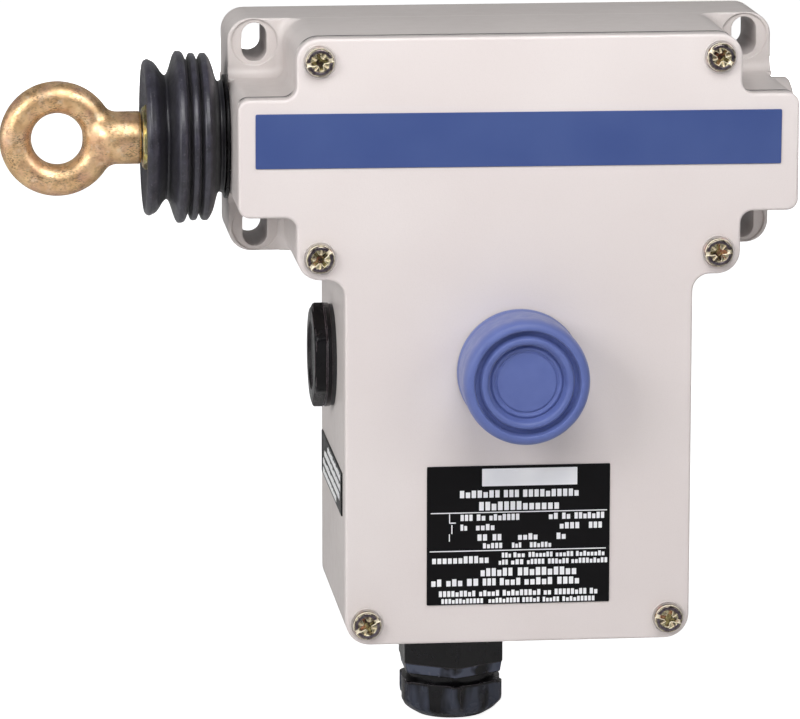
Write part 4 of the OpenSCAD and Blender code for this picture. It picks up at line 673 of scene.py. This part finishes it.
def chromate(name):
    """Yellow chromate on zinc: gold with a paler and a browner film in streaks and patches of 1 to 4 mm, rubbed to
    pale metal where the rope and tools rub, with a pale painted highlight along the edges, over the forging's
    shallow dimples."""
    made, tree = start(name)
    patch = blotches(tree, 0.0035, 0.32, 0.68, 4)
    colour = tones(tree, patch, srgb(224, 181, 132), srgb(255, 218, 168))
    brown = blotches(tree, 0.0018, 0.52, 0.72, 4)
    colour = tones(tree, span(tree, brown, 0.0, 0.55), colour, srgb(150, 104, 74))
    pale = blotches(tree, 0.0026, 0.56, 0.74, 3)
    colour = tones(tree, span(tree, pale, 0.0, 0.5), colour, srgb(255, 238, 208))
    pits = reckon(tree, "MULTIPLY", blotches(tree, 0.0004, 0.48, 0.66, 3, (2, 1, 1)),
                  blotches(tree, 0.004, 0.4, 0.62))
    colour = tones(tree, span(tree, pits, 0.0, 0.75), colour, srgb(96, 72, 54))
    rosy = blotches(tree, 0.006, 0.45, 0.7)
    colour = tones(tree, span(tree, rosy, 0.0, 0.4), colour, srgb(222, 168, 156))
    at_edge, soft = edges_of(tree, 0.0004)
    # Painted highlight: a pale gold along the edges.
    colour = tones(tree, span(tree, at_edge, 0.0, 0.5), colour, srgb(244, 222, 176))
    shine = span(tree, blotches(tree, 0.0012, 0.3, 0.7), 0.3, 0.45)
    forge = reckon(tree, "ADD", blotches(tree, 0.0022, 0.2, 0.8, 3), blotches(tree, 0.0005, 0.2, 0.8, 2))
    return close(made, tree, colour, shine, forge, 0.00004, soft, Metallic=0.8)


yellow_zinc = chromate("yellow_chromate")
dress(yellow_zinc, "yellow_zinc", "forged_eye")
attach(eye, "pull")
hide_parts("eye_bolt")


def six_sided(across, rows, centre, axis, turned_by):
    """A nut blank: rows of (height, greatest radius, share), each ring the smaller of that radius and a share of a
    hexagon whose corners are eased, made from the sum of six face distances to a high power. The share is 1 where
    none is given."""
    soft, columns = 60, 144
    angle = np.linspace(0, 2 * np.pi, columns, endpoint=False)
    faces = np.radians(60 * np.arange(6))[:, None] + np.radians(turned_by)
    hexagon = across / 2 / (np.clip(np.cos(angle - faces), 0, 1) ** soft).sum(0) ** (1 / soft)
    rows = np.array([(*row, 1.0)[:3] for row in rows], float)
    r = np.minimum(hexagon[None] * rows[:, 2:], rows[:, 1:2])
    grid = turned(np.stack([rows[:, 0], np.ones(len(rows))], 1), (0, 0, 0), axis, columns)
    level = rows[:, 0, None, None] * np.array(axis, float)
    return np.array(centre) + level + (grid - level) * r[..., None]


nut_rows = [[4.5, 4.2], [4.5, 7.9], [4.5, 8.3], [4.2, 8.8], [3.6, 9.9], [0.9, 9.9], [0.3, 8.8], [0, 8.3], [0, 7.9],
            [0, 4.2]]
lock_nut = skin("lock_nut", [six_sided(17, nut_rows, (-103.9, line_y, 0), (1, 0, 0), 8)], 30, True)
nut_zinc = bright_zinc("nut_zinc", srgb(190, 178, 120), srgb(226, 216, 168), srgb(206, 190, 90), 0.3, 0.8)
dress(nut_zinc, "zinc_steel", "lock_nut")
steel_zinc = bright_zinc("steel_zinc", srgb(158, 156, 152), srgb(210, 209, 204), srgb(190, 186, 160), 0.3)
dress(steel_zinc, "zinc_steel", "bellows_washer", "pull_shaft", "spring_collar", "drive_pin", "lever_pivot_pin",
      "frame_screws", "block_screws", "keeper_screws", "terminal_screws", "slide_pin", "latch_pin", "trip_lever",
      "lever_frame", "latch")
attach(lock_nut, "pull")
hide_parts("eye_lock_nut")


# End cap: a turned metal cap in the body's paint. It is pressed into the right arm, over an O-ring, and closes the
# bore of the pull line.
cap_side = eased([[4.8, 12.5], [4.8, 15], [0, 15]], [0, 1.5, 0], 7)
cap_rows = np.vstack([[[4.8, 0]], cap_side, [[0, 12.2], [-4, 12.2], [-4, 8], [2.8, 8], [2.8, 0]]])
cap = skin("painted_end_cap", [turned(cap_rows, (arm_end, line_y, 0), (1, 0, 0), 128)], 40)
dress(body_paint, "paint_body", "painted_end_cap")
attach(cap, "root")
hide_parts("end_cap")


# Reset button: a moulded silicone boot, with rings round its face, is stretched over the button's head. A black
# bezel, screwed into the cover, holds the boot's foot. Rows are (radius, height), with the cut of each corner
# beside them.
button_z = -61.5
boot_corners = [[0, 17.3], [8.3, 17.3], [8.6, 16.9], [8.95, 16.9], [9.3, 17.5], [9.9, 17.5], [10.25, 17.0],
                [10.5, 17.0], [11.25, 19.4], [12.05, 19.8], [12.9, 19.6], [13.5, 17.5], [14.7, 17.3], [15.1, 19.8],
                [15.9, 20.0], [17.1, 19.5], [17.8, 18.0], [18.0, 16.0], [17.55, 3.0], [17.85, 1.8], [17.85, 0.6]]
boot_cuts = [0, 0.15, 0.15, 0.15, 0.25, 0.25, 0.1, 0.1, 0.4, 0.4, 0.4, 0.3, 0.3, 0.3, 0.4, 0.7, 0.8, 1.5, 0.8, 0.4,
             0]
boot_in = [[17.72, 0.6], [17.72, 2.05], [16.0, 2.05], [16.0, 15.5], [15.7, 16.9], [11.62, 16.9], [11.62, 15.2],
           [0, 15.2]]
boot_rows = np.vstack([eased(boot_corners, boot_cuts, 6), boot_in])[:, ::-1]
boot = skin("silicone_boot", [turned(boot_rows, (0, cover_face, button_z), (0, -1, 0), 160)], 50)
made, tree = start("blue_silicone")
colour = tones(tree, blotches(tree, 0.006, detail=3), srgb(88, 103, 164), srgb(94, 109, 170))
at_edge, soft = edges_of(tree, 0.0004)
# Painted highlight: a paler blue along the boot's edges.
colour = tones(tree, span(tree, at_edge, 0.0, 0.3), colour, srgb(150, 164, 214))
shine = span(tree, blotches(tree, 0.003), 0.38, 0.52)
grain = blotches(tree, 0.0003, 0.2, 0.8, 2)
blue_silicone = close(made, tree, colour, shine, grain, 0.00001, None, Specular_IOR_Level=0.5, Sheen_Weight=0.15,
                      Sheen_Roughness=0.4)
dress(blue_silicone, "blue_rubber", "silicone_boot")
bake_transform(boot)
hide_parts("reset_boot")
dress(black_moulding, "black_plastic", "reset_bezel")


# Gland: a black nylon cable gland, screwed into the bottom of the box over a ring. Its body has a hexagon to hold
# it by, and its cap nut, screwed on from below, has a grip rib on each corner. A blue-grey painted reflection lies
# on the nylon in places.
gland_x, gland_y = -14.8, -34
gland_rows = [[1.2, 9], [1.2, 14.0], [1.2, 17], [13.6, 17], [13.75, 17, 0.985], [16.6, 17, 0.955], [16.9, 17, 0.93],
              [16.9, 12.9], [19.6, 12.9]]
body_in = [[24.3, 11.2], [24.3, 8.1], [13.8, 8.1], [13.8, 6.5], [-10, 6.5], [-10, 9.9], [0, 9.9]]
gland = skin("gland_hex", [six_sided(29, gland_rows + body_in, (gland_x, gland_y, -140.6), (0, 0, -1), 0)], 30,
             True)


def ribbed_cap():
    """The cap nut: each ring is the greatest of a circle, a hexagon and six ribs, cut off by a domed limit that
    grows with height from the cable's end; then the bore goes back up inside."""
    columns, cap_foot = 288, -170.4
    angle = np.linspace(0, 2 * np.pi, columns, endpoint=False)
    corner = (np.degrees(angle) + 30) % 60 - 30
    hexagon = 13.75 / np.cos(np.radians(np.abs((np.degrees(angle) % 60) - 30)))
    rib = 14.3 + 1.65 * (1 - step(np.abs(np.radians(corner)) * 15.9, 1.25, 1.75))
    dome = eased([[0, 10.5], [1.6, 13.1], [4.2, 15.64], [6.6, 16.4], [10.2, 16.4], [10.5, 15.5]], 0.8, 4)
    limit = np.vstack([[[0, 9.1]], dome, [[10.5, 13]]])
    outer = np.minimum(np.maximum(np.maximum(14.4, hexagon), rib)[None], limit[:, 1:])
    inner = np.array([[10.5, 11.6], [2.4, 11.6], [2.4, 6.6], [0, 6.6]])
    r = np.vstack([outer, np.repeat(inner[:, 1:], columns, 1)])
    h = np.concatenate([limit[:, 0], inner[:, 0]])[:, None] * np.ones(columns)
    a = angle[None] + np.pi / 6
    return np.stack([gland_x + r * np.cos(a), gland_y + r * np.sin(a), cap_foot + h], -1)


gland_nut = skin("gland_cap_nut", [ribbed_cap()], 30, True)

# A blue-grey painted reflection lies on the slanted foot of the hexagon and in patches on the cap's cheeks.
made, tree = start("sheen_painted_nylon")
height = own_place(tree, "Z")
above, below = span(tree, height, 1.0, 0.0, -0.1546, -0.1543), span(tree, height, 0.0, 1.0, -0.1573, -0.157)
foot = reckon(tree, "MULTIPLY", above, below)
foot = reckon(tree, "MULTIPLY", foot, blotches(tree, 0.007, 0.36, 0.5, 2))
patches = blotches(tree, 0.006, 0.45, 0.62, 2, (1, 1, 3))
cheeks = reckon(tree, "MULTIPLY", span(tree, height, 0.5, 0.0, -0.1608, -0.1603), patches)
colour = tones(tree, blotches(tree, 0.008), srgb(10, 9, 11), srgb(17, 16, 20))
# Painted reflection: blue-grey on the hexagon's foot and the cap's cheeks.
colour = tones(tree, reckon(tree, "MAXIMUM", foot, cheeks), colour, srgb(84, 90, 108))
at_edge, soft = edges_of(tree, 0.0003)
# Painted highlight: a pale grey along the edges.
colour = tones(tree, span(tree, at_edge, 0.0, 0.6), colour, srgb(128, 120, 128))
shine = span(tree, blotches(tree, 0.004), 0.16, 0.30)
grain = blotches(tree, 0.0003, 0.2, 0.8, 2)
sheen_painted = close(made, tree, colour, shine, grain, 0.00002, soft, Specular_IOR_Level=0.3)
dress(sheen_painted, "black_plastic", "gland_hex", "gland_cap_nut")
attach(gland, "root")
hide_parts("gland_body")
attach(gland_nut, "root")
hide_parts("gland_cap")


# Blanking plug: a black nylon plug with a flange, a raised hexagon and a shallow dish. It is screwed into the spare
# cable entry in the left wall, over a rubber ring.
plug_rows = [[-5, 0], [-5, 9.9], [1.2, 9.9], [1.2, 13.0], [1.2, 15.0, 1.3], [2.5, 15.1, 1.3], [2.8, 14.8, 1.3],
             [2.8, 14.2], [2.8, 17], [5.3, 17], [5.8, 14.9], [6.25, 13.6], [6.3, 13.2], [6.3, 10.2], [5.6, 9.6],
             [5.4, 0]]
plug = skin("hex_plug", [six_sided(27, plug_rows, (left_wall, gland_y, -63.5), (-1, 0, 0), -1)], 30)
nylon = moulded_plastic("black_nylon", srgb(10, 9, 11), srgb(17, 16, 20), 0.22)
dress(nylon, "black_plastic", "hex_plug")
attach(plug, "root")
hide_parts("blanking_plug")


# Inside: oiled bronze bushes carry the shaft, and drawn steel springs push it, the button and the latch back. A
# brown thermoset block screwed to the housing holds tinned copper contacts, and an ivory slide under its keeper
# bridges them.
def plain_metal(name, deep, bright, rough, way=(1, 1, 1)):
    """Worked metal: two close tones with fine marks along the way it was drawn or turned."""
    made, tree = start(name)
    colour = tones(tree, blotches(tree, 0.002, 0.3, 0.7), deep, bright)
    shine = span(tree, blotches(tree, 0.001, 0.3, 0.7), rough - 0.06, rough + 0.1)
    return close(made, tree, colour, shine, blotches(tree, 0.0002, 0.3, 0.7, 2, way), 0.000005, Metallic=1.0)


oiled_bronze = plain_metal("oiled_bronze", srgb(140, 108, 62), srgb(172, 138, 86), 0.4)
dress(oiled_bronze, "bronze_bush", "front_bush", "rear_bush")
tinned_copper = plain_metal("tinned_copper", srgb(176, 112, 72), srgb(206, 150, 106), 0.3, (4, 1, 1))
dress(tinned_copper, "contact_copper", "contact_bridges", "fixed_contacts")
bright_brass = plain_metal("bright_brass", srgb(186, 152, 74), srgb(214, 184, 106), 0.28)
dress(bright_brass, "brass_plate", "earth_screw")
drawn_wire = plain_metal("drawn_wire", srgb(120, 120, 122), srgb(168, 168, 170), 0.3, (1, 3, 1))


def coil(centre, axis, radius, wide, length, turns):
    """A compression spring: a round wire carried along a helix whose first and last turns lie close, ground flat
    there. The wire swells from a point at each end, and its rise is smoothed over 15 steps."""
    t = np.linspace(0, turns, turns * 36 + 1)
    rise = np.interp(t, [0, 1, turns - 1, turns], [0, 1.15 * wide, length - 2.15 * wide, length - wide]) + wide / 2
    rise = np.convolve(np.pad(rise, 7, "edge"), np.ones(15) / 15, "valid")
    size = np.concatenate([[0], np.full(len(t) - 2, wide / 2), [0]])[:, None]
    round_it = np.linspace(0, 2 * np.pi, 14, endpoint=False)[None]
    r = (radius + size * np.cos(round_it))[..., None]
    h = np.clip(rise[:, None] + size * np.sin(round_it), 0.12 * wide, length - 0.12 * wide)[..., None]
    axis = np.array(axis, float)
    side = np.cross(axis, [0, 0, 1])
    angle = (2 * np.pi * t)[:, None, None]
    return np.array(centre) + h * axis + r * (np.cos(angle) * side + np.sin(angle) * np.cross(axis, side))


springs = [("pull_spring", "pull", (-57.2, line_y, 0), (-11.0, line_y, 0), 8.2, 2.2, 8),
           ("reset_spring", "button", (0, -72.0, button_z), (0, -85.5, button_z), 7.6, 1.2, 5),
           ("latch_spring", "latch_body", (0, -40.3, -64.0), (0, -48.9, -64.0), 2.1, 0.6, 5)]
for name, body, start_mm, end_mm, radius, wide, turns in springs:
    way = np.array(end_mm, float) - start_mm
    length = np.linalg.norm(way)
    wound = skin(name + "_coil", [coil(start_mm, way / length, radius, wide, length, turns)], 60)
    dress(drawn_wire, "spring_steel", name + "_coil")
    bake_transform(wound)
    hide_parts(name)
dress(drawn_wire, "spring_steel", "spring_circlip", "reset_circlip")
brown_thermoset = moulded_plastic("brown_thermoset", srgb(78, 46, 30), srgb(92, 56, 38), 0.42)
dress(brown_thermoset, "brown_moulding", "contact_block")
ivory = moulded_plastic("ivory_moulding", srgb(206, 196, 168), srgb(216, 207, 182), 0.42)
dress(ivory, "ivory_moulding", "contact_slide", "slide_keeper")
